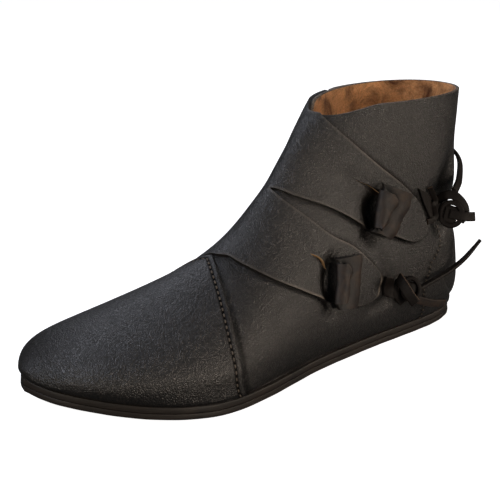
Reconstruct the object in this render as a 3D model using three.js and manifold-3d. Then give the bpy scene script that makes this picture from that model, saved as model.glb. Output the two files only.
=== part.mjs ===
// Ankle-high turnshoe of dark leather: sole, insole, hollow upper, front wrap with two
// tongues, rolled toggles, straps and knotted thongs. Left shoe, in millimetres, +Z up.
// The toe points to -X, the outer (lateral) side to -Y, and the sole stands on z = 0.
import * as THREE from 'three';
import { mergeVertices } from 'three/addons/utils/BufferGeometryUtils.js';
import Module from 'manifold-3d';

const wasm = await Module();
wasm.setup();

// Driving sizes of the last and the leather
const LAST_LENGTH = 285;
const BALL_HALF = 49.5;
const COLLAR_HEIGHT = 142;
const OUTSOLE_THICK = 3.4;
const MIDSOLE_THICK = 3.3;
const INSOLE_THICK = 2;
const TOE_SPRING = 11.4;
const WALL = 2;
const WRAP_THICK = 2;
const CLEARANCE = 0.3;
const HEEL_SET_IN = 2;
const SOLE_EDGE_ROUND = 0.8;
const INSOLE_SET_IN = 5.2;

const SOLE_THICK = OUTSOLE_THICK + CLEARANCE + MIDSOLE_THICK;
const SHAFT_RISE = COLLAR_HEIGHT - SOLE_THICK;
const WRAP_DEPTH = CLEARANCE + WRAP_THICK;
const SPRING_START = 0.68;

// Sole outline: share of the sole length from the heel, half width as a share of BALL_HALF
const OUTLINE = [
  [0.000, 0.000],
  [0.008, 0.287],
  [0.045, 0.478],
  [0.120, 0.603],
  [0.220, 0.638],
  [0.340, 0.660],
  [0.460, 0.710],
  [0.570, 0.837],
  [0.670, 0.970],
  [0.750, 0.995],
  [0.830, 0.900],
  [0.900, 0.710],
  [0.950, 0.510],
  [0.985, 0.280],
  [1.000, 0.000],
];

// Bend of the foot's middle line: share of LAST_LENGTH, shift outward as a share of BALL_HALF
const BEND = [
  [0.00, 0.000],
  [0.20, 0.000],
  [0.45, 0.115],
  [0.70, 0.125],
  [1.00, -0.182],
];

// Stations of the last, a fan of planes from the toe (0) round the heel to the collar (18).
// Each plane runs from a point on the ridge to a point on the sole edge or the back line.
// ridgeAlong, baseAlong: share of LAST_LENGTH from the heel. ridgeUp, baseUp: height above
// the sole's top as a share of SHAFT_RISE. half: half width as a share of BALL_HALF.
// belly: how far up the plane it is widest. gable: how much the ridge is pinched.
const STATIONS = [
  { ridgeAlong: 1.000, ridgeUp: 0.028, baseAlong: 1.000, baseUp: 0.028, half: 0.000, belly: 0.35, gable: 0.00 },
  { ridgeAlong: 0.988, ridgeUp: 0.060, baseAlong: 0.994, baseUp: 0.000, half: 0.222, belly: 0.35, gable: 0.05 },
  { ridgeAlong: 0.971, ridgeUp: 0.095, baseAlong: 0.975, baseUp: 0.000, half: 0.444, belly: 0.35, gable: 0.10 },
  { ridgeAlong: 0.945, ridgeUp: 0.152, baseAlong: 0.945, baseUp: 0.000, half: 0.646, belly: 0.32, gable: 0.15 },
  { ridgeAlong: 0.897, ridgeUp: 0.218, baseAlong: 0.895, baseUp: 0.000, half: 0.824, belly: 0.28, gable: 0.22 },
  { ridgeAlong: 0.818, ridgeUp: 0.296, baseAlong: 0.820, baseUp: 0.000, half: 0.956, belly: 0.24, gable: 0.30 },
  { ridgeAlong: 0.729, ridgeUp: 0.373, baseAlong: 0.735, baseUp: 0.000, half: 1.010, belly: 0.22, gable: 0.38 },
  { ridgeAlong: 0.640, ridgeUp: 0.447, baseAlong: 0.640, baseUp: 0.000, half: 0.966, belly: 0.22, gable: 0.42 },
  { ridgeAlong: 0.573, ridgeUp: 0.533, baseAlong: 0.540, baseUp: 0.000, half: 0.867, belly: 0.24, gable: 0.40 },
  { ridgeAlong: 0.526, ridgeUp: 0.627, baseAlong: 0.430, baseUp: 0.000, half: 0.782, belly: 0.26, gable: 0.36 },
  { ridgeAlong: 0.492, ridgeUp: 0.701, baseAlong: 0.300, baseUp: 0.000, half: 0.745, belly: 0.28, gable: 0.32 },
  { ridgeAlong: 0.470, ridgeUp: 0.761, baseAlong: 0.170, baseUp: 0.000, half: 0.743, belly: 0.32, gable: 0.28 },
  { ridgeAlong: 0.453, ridgeUp: 0.809, baseAlong: 0.055, baseUp: 0.000, half: 0.735, belly: 0.36, gable: 0.25 },
  { ridgeAlong: 0.445, ridgeUp: 0.831, baseAlong: 0.004, baseUp: 0.000, half: 0.727, belly: 0.38, gable: 0.23 },
  { ridgeAlong: 0.437, ridgeUp: 0.853, baseAlong: -0.014, baseUp: 0.089, half: 0.713, belly: 0.40, gable: 0.22 },
  { ridgeAlong: 0.423, ridgeUp: 0.893, baseAlong: -0.007, baseUp: 0.281, half: 0.691, belly: 0.42, gable: 0.20 },
  { ridgeAlong: 0.407, ridgeUp: 0.932, baseAlong: 0.001, baseUp: 0.519, half: 0.679, belly: 0.44, gable: 0.19 },
  { ridgeAlong: 0.392, ridgeUp: 0.967, baseAlong: 0.006, baseUp: 0.763, half: 0.659, belly: 0.46, gable: 0.19 },
  { ridgeAlong: 0.377, ridgeUp: 0.994, baseAlong: 0.001, baseUp: 1.000, half: 0.646, belly: 0.47, gable: 0.19 },
];
const COLLAR_STATION = STATIONS.length - 1;
const WIDEST_GIRTH = 0.6;
const ROUNDNESS = 2.2;

// Vamp seam: the station that the vamp's cut edge follows at each girth share
const VAMP_SEAM = [
  { girth: 0.00, station: 7.12 },
  { girth: 0.25, station: 6.81 },
  { girth: 0.40, station: 6.60 },
  { girth: 0.55, station: 6.53 },
  { girth: 0.80, station: 6.62 },
  { girth: 1.00, station: 6.74 },
];
const SEAM_STEP = 0.05;
const MEDIAL_SEAM = 0.45;
const MEDIAL_STEP = 0.015;

// Front wrap: upper and lower edge of each tongue, from the medial seam to the rounded end
const UPPER_TONGUE = [
  { topStation: 18.60, topGirth: -0.440, lowStation: 9.75, lowGirth: -0.440 },
  { topStation: 18.60, topGirth: -0.300, lowStation: 9.75, lowGirth: -0.300 },
  { topStation: 18.60, topGirth: -0.120, lowStation: 9.75, lowGirth: -0.120 },
  { topStation: 18.10, topGirth: 0.000, lowStation: 9.82, lowGirth: 0.015 },
  { topStation: 17.20, topGirth: 0.090, lowStation: 10.02, lowGirth: 0.110 },
  { topStation: 16.47, topGirth: 0.183, lowStation: 10.36, lowGirth: 0.200 },
  { topStation: 15.98, topGirth: 0.267, lowStation: 11.00, lowGirth: 0.300 },
  { topStation: 15.64, topGirth: 0.342, lowStation: 11.40, lowGirth: 0.383 },
  { topStation: 15.38, topGirth: 0.420, lowStation: 11.70, lowGirth: 0.445 },
  { topStation: 15.24, topGirth: 0.495, lowStation: 12.20, lowGirth: 0.487 },
  { topStation: 15.10, topGirth: 0.550, lowStation: 12.85, lowGirth: 0.527 },
  { topStation: 14.86, topGirth: 0.588, lowStation: 13.50, lowGirth: 0.562 },
  { topStation: 14.30, topGirth: 0.605, lowStation: 14.30, lowGirth: 0.605 },
];
const LOWER_TONGUE = [
  { topStation: 9.95, topGirth: -0.440, lowStation: 6.72, lowGirth: -0.440 },
  { topStation: 9.95, topGirth: -0.300, lowStation: 6.88, lowGirth: -0.300 },
  { topStation: 9.95, topGirth: -0.120, lowStation: 7.12, lowGirth: -0.120 },
  { topStation: 9.74, topGirth: 0.020, lowStation: 7.26, lowGirth: 0.020 },
  { topStation: 9.76, topGirth: 0.110, lowStation: 7.34, lowGirth: 0.100 },
  { topStation: 9.87, topGirth: 0.200, lowStation: 7.48, lowGirth: 0.190 },
  { topStation: 10.12, topGirth: 0.300, lowStation: 7.87, lowGirth: 0.308 },
  { topStation: 10.34, topGirth: 0.375, lowStation: 8.34, lowGirth: 0.400 },
  { topStation: 10.66, topGirth: 0.433, lowStation: 8.90, lowGirth: 0.487 },
  { topStation: 10.78, topGirth: 0.483, lowStation: 9.36, lowGirth: 0.550 },
  { topStation: 10.84, topGirth: 0.533, lowStation: 9.80, lowGirth: 0.597 },
  { topStation: 10.76, topGirth: 0.578, lowStation: 10.16, lowGirth: 0.614 },
  { topStation: 10.48, topGirth: 0.607, lowStation: 10.48, lowGirth: 0.607 },
];
const CUTTER_REACH = 6;

// Cuts through the leather: ends of each slit, and its width in mm where it gapes most
const UPPER_SLIT = { station: 14.10, girth: 0.345, toStation: 14.32, toGirth: 0.445, gape: 1.8 };
const LOWER_SLIT = { station: 9.38, girth: 0.383, toStation: 9.66, toGirth: 0.446, gape: 1.8 };
const UPPER_SLOT = { station: 15.55, girth: 0.644, toStation: 14.72, toGirth: 0.644, gape: 2.6 };
const LOWER_SLOT = { station: 11.20, girth: 0.600, toStation: 10.86, toGirth: 0.690, gape: 2.4 };

// Straps that run from under each tongue's end to the slot in the outer quarter
const STRAP_THICK = 1.8;
const UPPER_STRAP = [
  { topStation: 15.40, topGirth: 0.576, lowStation: 14.80, lowGirth: 0.616 },
  { topStation: 15.41, topGirth: 0.603, lowStation: 14.82, lowGirth: 0.624 },
  { topStation: 15.41, topGirth: 0.632, lowStation: 14.84, lowGirth: 0.633 },
];
const LOWER_STRAP = [
  { topStation: 10.96, topGirth: 0.578, lowStation: 10.64, lowGirth: 0.634 },
  { topStation: 11.03, topGirth: 0.586, lowStation: 10.73, lowGirth: 0.652 },
  { topStation: 11.10, topGirth: 0.596, lowStation: 10.82, lowGirth: 0.668 },
];

// Rolled toggles: where each lies on its tongue, its length, and its lean from upright
const ROLL_THICK = 2.4;
const ROLL_START = 1.9;
const ROLL_PITCH = 2.75;
const ROLL_TURNS = 1.2;
const ROLL_TAIL = 7;
const UPPER_TOGGLE = { station: 13.45, girth: 0.487, length: 27, lean: 0.55 };
const LOWER_TOGGLE = { station: 10.02, girth: 0.535, length: 28, lean: 0.1 };

// Thongs of cut leather: knots seated on the outer quarter, and free stretches by points
const THONG = 4.4;
const KNOT_THICK = 9;
const KNOT_LIFT = 0.8;
const TOGGLE_LIFT = 0.85;
const UPPER_KNOT = { station: 15.4, girth: 0.7, wide: 20, tall: 24 };
const LOWER_KNOT = { station: 11.06, girth: 0.663, wide: 16, tall: 22 };
const UPPER_LOOP = [
  [143.5, 2.0, 104.5],
  [145.2, -5.0, 101.5],
  [144.0, -13.0, 96.0],
  [137.0, -20.5, 89.5],
  [127.5, -29.5, 89.2],
  [119.4, -34.2, 88.6],
];
const UPPER_END = [
  [125.9, -33.7, 68.0],
  [130.5, -36.5, 67.4],
  [134.5, -39.0, 67.0],
];
const LOWER_TAIL = [
  [85.3, -42.4, 34.0],
  [104.0, -39.5, 35.5],
  [119.0, -36.0, 37.0],
  [129.0, -35.5, 41.0],
  [135.5, -36.5, 46.5],
  [139.5, -38.0, 51.5],
];
const LOWER_STUB = [
  [85.0, -42.2, 26.2],
  [98.0, -40.0, 20.5],
  [112.0, -36.5, 16.5],
];

// Cubic spline through evenly spaced values, straight beyond its ends. It starts without
// curvature, or level where flatStart is true, so that a form closes round at its tip.
function naturalSpline(values, flatStart = false) {
  const last = values.length - 1;
  const curvature = new Array(values.length).fill(0);
  const sweep = new Array(values.length).fill(0);
  if (flatStart) {
    sweep[0] = 1 / 2;
    curvature[0] = 3 * (values[1] - values[0]);
  }
  for (let i = 1; i < last; i += 1) {
    const pivot = 4 - sweep[i - 1];
    const bend = 6 * (values[i + 1] - 2 * values[i] + values[i - 1]);
    sweep[i] = 1 / pivot;
    curvature[i] = (bend - curvature[i - 1]) / pivot;
  }
  for (let i = last - 1; i >= 0; i -= 1) {
    curvature[i] -= sweep[i] * curvature[i + 1];
  }
  return (at) => {
    const inside = Math.min(Math.max(at, 0), last);
    const i = Math.min(Math.floor(inside), last - 1);
    const f = inside - i;
    const g = 1 - f;
    const value = g * values[i] + f * values[i + 1]
      + ((g ** 3 - g) * curvature[i] + (f ** 3 - f) * curvature[i + 1]) / 6;
    const slope = values[i + 1] - values[i]
      + ((1 - 3 * g * g) * curvature[i] + (3 * f * f - 1) * curvature[i + 1]) / 6;
    return value + slope * (at - inside);
  };
}

// Value of a table of [place, value] rows at a place, smooth or straight between rows
function smoothTable(rows) {
  const place = naturalSpline(rows.map((row) => row[0]));
  const value = naturalSpline(rows.map((row) => row[1]));
  const steps = 40 * (rows.length - 1);
  const samples = [];
  for (let i = 0; i <= steps; i += 1) {
    const at = i / 40;
    samples.push([place(at), value(at)]);
  }
  return (x) => straightTable(samples, x);
}

function straightTable(rows, x) {
  if (x <= rows[0][0]) return rows[0][1];
  for (let i = 1; i < rows.length; i += 1) {
    if (x <= rows[i][0]) {
      const share = (x - rows[i - 1][0]) / (rows[i][0] - rows[i - 1][0]);
      return rows[i - 1][1] + share * (rows[i][1] - rows[i - 1][1]);
    }
  }
  return rows[rows.length - 1][1];
}

function smoothstep(x, from, to) {
  return THREE.MathUtils.smoothstep(x, from, to);
}

// Sole functions of the distance from the heel, u
const outlineShare = smoothTable(OUTLINE);
const bendShare = smoothTable(BEND);
const SOLE_LENGTH = LAST_LENGTH - HEEL_SET_IN;

function soleHalf(u) {
  const share = (u - HEEL_SET_IN) / SOLE_LENGTH;
  if (share <= 0 || share >= 1) return 0;
  return BALL_HALF * Math.max(outlineShare(share), 0);
}

function footMiddle(u) {
  return BALL_HALF * bendShare(u / LAST_LENGTH);
}

function spring(u) {
  const past = Math.max(u / LAST_LENGTH - SPRING_START, 0) / (1 - SPRING_START);
  return TOE_SPRING * past * past;
}

// A point of the shoe: u forward from the heel, v outward, z up
function place(u, v, z) {
  return new THREE.Vector3(LAST_LENGTH / 2 - u, -v, z);
}

// Surface of the last: station from toe to collar, girth 0 on the ridge and +-1 at the edge
const stationColumn = {};
for (const name of Object.keys(STATIONS[0])) {
  stationColumn[name] = naturalSpline(STATIONS.map((row) => row[name]), name.endsWith('Along'));
}

function lastPoint(station, girth) {
  const ridgeU = LAST_LENGTH * stationColumn.ridgeAlong(station);
  const baseU = LAST_LENGTH * stationColumn.baseAlong(station);
  const ridgeZ = SOLE_THICK + spring(ridgeU) + SHAFT_RISE * stationColumn.ridgeUp(station);
  const baseZ = SOLE_THICK + spring(baseU) + SHAFT_RISE * stationColumn.baseUp(station);
  const half = BALL_HALF * stationColumn.half(station);
  const belly = stationColumn.belly(station);
  const gable = stationColumn.gable(station);
  const side = Math.abs(girth);
  let rise;
  let width;
  if (side <= WIDEST_GIRTH) {
    const turn = (1 - side / WIDEST_GIRTH) * Math.PI / 2;
    rise = belly + (1 - belly) * Math.sin(turn);
    width = Math.cos(turn) * (1 - gable * Math.sin(turn) ** 2);
  } else {
    const foot = half > 0 ? Math.min(soleHalf(baseU) / half, 1) : 0;
    const down = (side - WIDEST_GIRTH) / (1 - WIDEST_GIRTH);
    const sigma = (1 - Math.cos(down * Math.PI / 2) ** ROUNDNESS) ** (1 / ROUNDNESS);
    rise = belly * (1 - sigma);
    width = Math.max(1 - (1 - foot ** ROUNDNESS) * sigma ** ROUNDNESS, 0) ** (1 / ROUNDNESS);
  }
  const u = baseU + (ridgeU - baseU) * rise;
  const z = baseZ + (ridgeZ - baseZ) * rise;
  return place(u, footMiddle(u) + Math.sign(girth) * half * width, z);
}

function lastNormal(station, girth) {
  const step = 0.01;
  const alongStation = lastPoint(station + step, girth)
    .sub(lastPoint(Math.max(station - step, 0.02), girth));
  const alongGirth = lastPoint(station, Math.min(girth + step, 1))
    .sub(lastPoint(station, Math.max(girth - step, -1)));
  const normal = alongGirth.cross(alongStation);
  if (Math.abs(girth) === 1 && edgeIsBackLine(station)) normal.y = 0;
  return normal.normalize();
}

function edgeIsBackLine(station) {
  return soleHalf(LAST_LENGTH * stationColumn.baseAlong(station)) === 0;
}

function underSurface(station, girth, depth) {
  const point = lastPoint(station, girth);
  if (depth === 0) return point;
  return point.addScaledVector(lastNormal(station, girth), -depth);
}

// Where the vamp ends, where the collar ends, and how deep the leather lies under the last
const seamStation = smoothTable(VAMP_SEAM.map((row) => [row.girth, row.station]));
const COLLAR_DIP = 0.9;
const WRAP_FADE = { from: 0.15, to: 0.8, stationFrom: 7.5, stationTo: 11 };

function collarStation(girth) {
  const dip = smoothstep(girth, -0.14, 0.02) * (1 - smoothstep(girth, 0.12, 0.42));
  return COLLAR_STATION - COLLAR_DIP * dip;
}

function wrapBed(station, girth, medialFrom) {
  const medialTo = medialFrom === MEDIAL_SEAM ? MEDIAL_SEAM + MEDIAL_STEP : WRAP_FADE.to;
  const away = girth >= 0
    ? smoothstep(girth, WRAP_FADE.from, WRAP_FADE.to)
    : smoothstep(-girth, medialFrom, medialTo);
  return WRAP_DEPTH * (1 - away * smoothstep(station, WRAP_FADE.stationFrom, WRAP_FADE.stationTo));
}

function outerDepth(station, girth) {
  if (station < seamStation(Math.abs(girth))) return 0;
  return wrapBed(station, girth, MEDIAL_SEAM);
}

function innerDepth(station, girth) {
  const seam = seamStation(Math.abs(girth));
  const bed = wrapBed(station, girth, MEDIAL_SEAM + MEDIAL_STEP);
  return WALL + bed * smoothstep(station, seam - 1.2, seam - 0.15);
}

// Closed mesh from rings of points with as many points in each, capped at both ends
function loftGeometry(rings) {
  const count = rings[0].length;
  const positions = [];
  const index = [];
  for (const ring of rings) {
    for (const point of ring) positions.push(point.x, point.y, point.z);
  }
  for (let i = 0; i + 1 < rings.length; i += 1) {
    for (let j = 0; j < count; j += 1) {
      const next = (j + 1) % count;
      const a = i * count + j;
      const b = i * count + next;
      index.push(a, b, b + count, a, b + count, a + count);
    }
  }
  for (const end of [0, rings.length - 1]) {
    const centre = new THREE.Vector3();
    for (const point of rings[end]) centre.addScaledVector(point, 1 / count);
    const hub = positions.length / 3;
    positions.push(centre.x, centre.y, centre.z);
    for (let j = 0; j < count; j += 1) {
      const a = end * count + j;
      const b = end * count + (j + 1) % count;
      if (end === 0) index.push(hub, b, a);
      else index.push(hub, a, b);
    }
  }
  return closedGeometry(positions, index);
}

function closedGeometry(positions, index) {
  const geometry = new THREE.BufferGeometry();
  geometry.setAttribute('position', new THREE.Float32BufferAttribute(positions, 3));
  geometry.setIndex(index);
  const merged = mergeVertices(geometry, 1e-3);
  const kept = [];
  const corners = merged.index.array;
  for (let i = 0; i < corners.length; i += 3) {
    const [a, b, c] = [corners[i], corners[i + 1], corners[i + 2]];
    if (a !== b && b !== c && c !== a) kept.push(a, b, c);
  }
  if (signedVolume(merged.attributes.position, kept) < 0) kept.reverse();
  merged.setIndex(kept);
  return merged;
}

function signedVolume(positions, corners) {
  const [a, b, c] = [new THREE.Vector3(), new THREE.Vector3(), new THREE.Vector3()];
  let volume = 0;
  for (let i = 0; i < corners.length; i += 3) {
    a.fromBufferAttribute(positions, corners[i]);
    b.fromBufferAttribute(positions, corners[i + 1]);
    c.fromBufferAttribute(positions, corners[i + 2]);
    volume += a.dot(b.cross(c)) / 6;
  }
  return volume;
}

function toManifold(geometry) {
  const bare = geometry.clone();
  bare.deleteAttribute('normal');
  bare.deleteAttribute('uv');
  const merged = mergeVertices(bare, 1e-3);
  return new wasm.Manifold(new wasm.Mesh({
    numProp: 3,
    vertProperties: merged.attributes.position.array,
    triVerts: new Uint32Array(merged.index.array),
  }));
}

function fromManifold(solid) {
  const mesh = solid.getMesh();
  const geometry = new THREE.BufferGeometry();
  geometry.setAttribute('position', new THREE.BufferAttribute(mesh.vertProperties, 3));
  geometry.setIndex(new THREE.BufferAttribute(mesh.triVerts, 1));
  geometry.computeVertexNormals();
  return geometry;
}

// Closed form under the last's surface, from the toe to above the collar, skirt and all
const FORM_SKIRT = 4;
const VAMP_ROWS = 13;
const SHAFT_ROWS = 29;
const GIRTH_STEPS = [
  -1, -0.95, -0.88, -0.8, -0.7, -0.6, -0.52, -MEDIAL_SEAM - MEDIAL_STEP, -MEDIAL_SEAM,
  -0.38, -0.3, -0.22, -0.14, -0.07, 0, 0.07, 0.14, 0.22, 0.3, 0.38, 0.46, 0.53, 0.6,
  0.7, 0.8, 0.88, 0.95, 1,
];

function formRing(row, girths, depthAt, firstStation, aboveCollar) {
  const ring = girths.map((girth) => {
    const seam = seamStation(Math.abs(girth));
    const station = row <= VAMP_ROWS
      ? THREE.MathUtils.lerp(firstStation, seam - SEAM_STEP, (row / VAMP_ROWS) ** 0.85)
      : THREE.MathUtils.lerp(seam + SEAM_STEP, collarStation(girth) + aboveCollar,
        (row - VAMP_ROWS - 1) / SHAFT_ROWS);
    return { station, point: underSurface(station, girth, depthAt(station, girth)) };
  });
  const points = ring.map((entry) => entry.point);
  const skirt = (entry) => {
    const drop = edgeIsBackLine(entry.station) ? 0 : FORM_SKIRT;
    return entry.point.clone().setZ(entry.point.z - drop);
  };
  return [skirt(ring[0]), ...points, skirt(ring[ring.length - 1])];
}

function upperForm(depthAt, firstStation, aboveCollar) {
  const rings = [];
  for (let row = 0; row <= VAMP_ROWS + 1 + SHAFT_ROWS; row += 1) {
    rings.push(formRing(row, GIRTH_STEPS, depthAt, firstStation, aboveCollar));
  }
  return toManifold(loftGeometry(rings));
}

// Slab along the sole: section of half widths and heights at each distance from the heel
function soleSlab(low, high, setIn, stations) {
  const rings = [];
  for (let i = 0; i <= stations; i += 1) {
    const turn = Math.PI * i / stations;
    const share = (1 - Math.cos(turn)) / 2;
    const u = HEEL_SET_IN + setIn + share * (SOLE_LENGTH - 2 * setIn);
    const half = Math.max(soleHalf(u) - setIn, 0);
    const round = Math.min(SOLE_EDGE_ROUND, half / 2);
    const middle = footMiddle(u);
    const base = spring(u);
    rings.push([
      place(u, middle - half + round, base + low),
      place(u, middle + half - round, base + low),
      place(u, middle + half, base + low + SOLE_EDGE_ROUND / 2),
      place(u, middle + half, base + high),
      place(u, middle - half, base + high),
      place(u, middle - half, base + low + SOLE_EDGE_ROUND / 2),
    ]);
  }
  return loftGeometry(rings);
}

// Everything under the sole's top and the clearance above it
function underSole() {
  const reach = 100;
  const rings = [];
  const steps = 40;
  for (let i = 0; i <= steps; i += 1) {
    const u = -30 + (LAST_LENGTH + 60) * i / steps;
    const top = SOLE_THICK + spring(u) + CLEARANCE;
    rings.push([
      place(u, -reach, -reach),
      place(u, reach, -reach),
      place(u, reach, top),
      place(u, -reach, top),
    ]);
  }
  return toManifold(loftGeometry(rings));
}

// Patch of leather between two edges on the last, from one depth under it to another
function patchGeometry(rows, outDepth, inDepth, stepsPerRow, across) {
  const column = {};
  for (const name of Object.keys(rows[0])) {
    column[name] = naturalSpline(rows.map((row) => row[name]));
  }
  const rings = [];
  for (let i = 0; i <= stepsPerRow * (rows.length - 1); i += 1) {
    const at = i / stepsPerRow;
    const outside = [];
    const inside = [];
    for (let j = 0; j <= across; j += 1) {
      const share = j / across;
      const station = THREE.MathUtils.lerp(column.topStation(at), column.lowStation(at), share);
      const girth = THREE.MathUtils.lerp(column.topGirth(at), column.lowGirth(at), share);
      outside.push(underSurface(station, girth, outDepth(station, girth)));
      inside.unshift(underSurface(station, girth, inDepth(station, girth)));
    }
    rings.push([...outside, ...inside]);
  }
  return loftGeometry(rings);
}

// Block round a tongue of the wrap: its outline pushed out and in through the leather
function tongueCutter(rows) {
  return toManifold(patchGeometry(rows, () => -CUTTER_REACH, () => CUTTER_REACH, 3, 8));
}

// Lens-shaped blade that opens a slit through the leather
function slitBlade(slit) {
  const from = lastPoint(slit.station, slit.girth);
  const to = lastPoint(slit.toStation, slit.toGirth);
  const along = to.clone().sub(from).normalize();
  const normal = lastNormal(slit.station, slit.girth);
  const across = normal.clone().cross(along);
  const rings = [];
  const steps = 8;
  for (let i = 0; i <= steps; i += 1) {
    const share = i / steps;
    const middle = from.clone().lerp(to, share);
    const half = slit.gape / 2 * Math.sin(Math.PI * share);
    rings.push([[half, 1], [half, -1], [-half, -1], [-half, 1]].map(([side, out]) => (
      middle.clone().addScaledVector(across, side).addScaledVector(normal, out * CUTTER_REACH))));
  }
  return toManifold(loftGeometry(rings));
}

// Rolled strip of leather lying on a tongue, its axis leaning from upright
function rolledToggle(toggle) {
  const middle = [];
  const steps = 14;
  for (let i = 0; i <= steps; i += 1) {
    const turn = 2 * Math.PI * ROLL_TURNS * i / steps;
    const radius = ROLL_START + ROLL_PITCH * turn / (2 * Math.PI);
    const angle = turn - Math.PI / 2 - 2 * Math.PI * ROLL_TURNS;
    middle.push(new THREE.Vector2(radius * Math.cos(angle), radius * Math.sin(angle)));
  }
  const rollEnd = middle[middle.length - 1];
  middle.push(new THREE.Vector2(rollEnd.x + ROLL_TAIL / 2, rollEnd.y));
  middle.push(new THREE.Vector2(rollEnd.x + ROLL_TAIL, rollEnd.y));
  const sides = middle.map((point, i) => {
    const before = middle[Math.max(i - 1, 0)];
    const after = middle[Math.min(i + 1, middle.length - 1)];
    const normal = new THREE.Vector2(before.y - after.y, after.x - before.x).normalize();
    return { point, normal };
  });
  const left = sides.map((side) => side.point.clone().addScaledVector(side.normal, ROLL_THICK / 2));
  const right = sides.map((side) => side.point.clone().addScaledVector(side.normal, -ROLL_THICK / 2));
  const shape = new THREE.Shape([...left, ...right.reverse()]);
  const roll = new THREE.ExtrudeGeometry(shape, { depth: toggle.length, bevelEnabled: false, steps: 1 });
  const lowest = Math.min(...left.concat(right).map((point) => point.y));
  roll.translate(0, -lowest, -toggle.length / 2);
  const seat = wrapSurface(toggle.station, toggle.girth).addScaledVector(
    lastNormal(toggle.station, toggle.girth), TOGGLE_LIFT);
  const out = lastNormal(toggle.station, toggle.girth);
  const upright = new THREE.Vector3(Math.sin(toggle.lean), 0, Math.cos(toggle.lean));
  const axis = upright.addScaledVector(out, -upright.dot(out)).normalize();
  const frame = new THREE.Matrix4().makeBasis(out.clone().cross(axis), out, axis);
  frame.setPosition(seat);
  return roll.applyMatrix4(frame);
}

function wrapSurface(station, girth) {
  return underSurface(station, girth, wrapBed(station, girth, MEDIAL_SEAM + MEDIAL_STEP) - WRAP_DEPTH);
}

// Bunched knot as its outer shape, seated on the outer quarter
function knotGeometry(knot) {
  const ball = new THREE.SphereGeometry(0.5, 14, 10);
  ball.scale(knot.wide, KNOT_THICK, knot.tall);
  const out = lastNormal(knot.station, knot.girth);
  const across = new THREE.Vector3(-out.y, out.x, 0).normalize();
  const depth = outerDepth(knot.station, knot.girth) - KNOT_LIFT - KNOT_THICK / 2;
  const frame = new THREE.Matrix4().makeBasis(across, out, across.clone().cross(out));
  frame.setPosition(underSurface(knot.station, knot.girth, depth));
  return ball.applyMatrix4(frame);
}

// Free stretch of a thong along its points
function thongGeometry(points) {
  const route = new THREE.CatmullRomCurve3(points.map((point) => new THREE.Vector3(...point)));
  const section = new THREE.Shape();
  const sides = 8;
  for (let i = 0; i < sides; i += 1) {
    const angle = 2 * Math.PI * i / sides;
    const [x, y] = [THONG / 2 * Math.cos(angle), THONG / 2 * Math.sin(angle)];
    if (i === 0) section.moveTo(x, y);
    else section.lineTo(x, y);
  }
  const steps = Math.ceil(route.getLength() / (2 * THONG)) + 1;
  return new THREE.ExtrudeGeometry(section, { steps, extrudePath: route, curveSegments: 1 });
}

function leather(colour, roughness) {
  return new THREE.MeshStandardMaterial({ color: colour, roughness, metalness: 0 });
}

const SOLE_LEATHER = leather(0x2b241d, 0.7);
const UPPER_LEATHER = leather(0x1b1a19, 0.45);
const LINING_LEATHER = leather(0x9a7350, 0.9);
const TRIM_LEATHER = leather(0x2a211c, 0.6);

function namedMesh(name, geometry, material) {
  const mesh = new THREE.Mesh(geometry, material);
  mesh.name = name;
  return mesh;
}

const shoe = new THREE.Group();
shoe.add(namedMesh('outsole', soleSlab(0, OUTSOLE_THICK, 0, 44), SOLE_LEATHER));
shoe.add(namedMesh('midsole',
  soleSlab(OUTSOLE_THICK + CLEARANCE, SOLE_THICK, 0.4, 44), SOLE_LEATHER));
shoe.add(namedMesh('insole', soleSlab(SOLE_THICK + CLEARANCE,
  SOLE_THICK + CLEARANCE + INSOLE_THICK, INSOLE_SET_IN, 30), LINING_LEATHER));

const ground = underSole();
const outerForm = upperForm(outerDepth, 0, 0);
const innerForm = upperForm(innerDepth, 0.45, 0.5);
const slots = slitBlade(UPPER_SLOT).add(slitBlade(LOWER_SLOT));
const upper = outerForm.subtract(innerForm).subtract(ground).subtract(slots);
shoe.add(namedMesh('upper', fromManifold(upper), UPPER_LEATHER));

// Front wrap, cut between two forms that follow the upper
const wrapTop = (station, girth) => wrapBed(station, girth, MEDIAL_SEAM + MEDIAL_STEP) - WRAP_DEPTH;
const wrapUnder = (station, girth) => wrapTop(station, girth) + WRAP_THICK;
const wrapSkin = upperForm(wrapTop, 0, 0).subtract(upperForm(wrapUnder, 0, 0.5));
const tongues = tongueCutter(UPPER_TONGUE).add(tongueCutter(LOWER_TONGUE));
const slits = slitBlade(UPPER_SLIT).add(slitBlade(LOWER_SLIT));
const wrap = wrapSkin.intersect(tongues).subtract(slits);
shoe.add(namedMesh('front_wrap', fromManifold(wrap), UPPER_LEATHER));

// Toggles, straps and thongs
shoe.add(namedMesh('upper_toggle', rolledToggle(UPPER_TOGGLE), TRIM_LEATHER));
shoe.add(namedMesh('lower_toggle', rolledToggle(LOWER_TOGGLE), TRIM_LEATHER));
const strapTop = (station, girth) => outerDepth(station, girth) - CLEARANCE - STRAP_THICK;
const strapUnder = (station, girth) => outerDepth(station, girth) - CLEARANCE;
shoe.add(namedMesh('upper_strap',
  patchGeometry(UPPER_STRAP, strapTop, strapUnder, 2, 6), TRIM_LEATHER));
shoe.add(namedMesh('lower_strap',
  patchGeometry(LOWER_STRAP, strapTop, strapUnder, 2, 6), TRIM_LEATHER));
shoe.add(namedMesh('upper_thong_knot', knotGeometry(UPPER_KNOT), TRIM_LEATHER));
shoe.add(namedMesh('lower_thong_knot', knotGeometry(LOWER_KNOT), TRIM_LEATHER));
shoe.add(namedMesh('upper_thong_loop', thongGeometry(UPPER_LOOP), TRIM_LEATHER));
shoe.add(namedMesh('upper_thong_end', thongGeometry(UPPER_END), TRIM_LEATHER));
shoe.add(namedMesh('lower_thong_tail', thongGeometry(LOWER_TAIL), TRIM_LEATHER));
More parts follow.
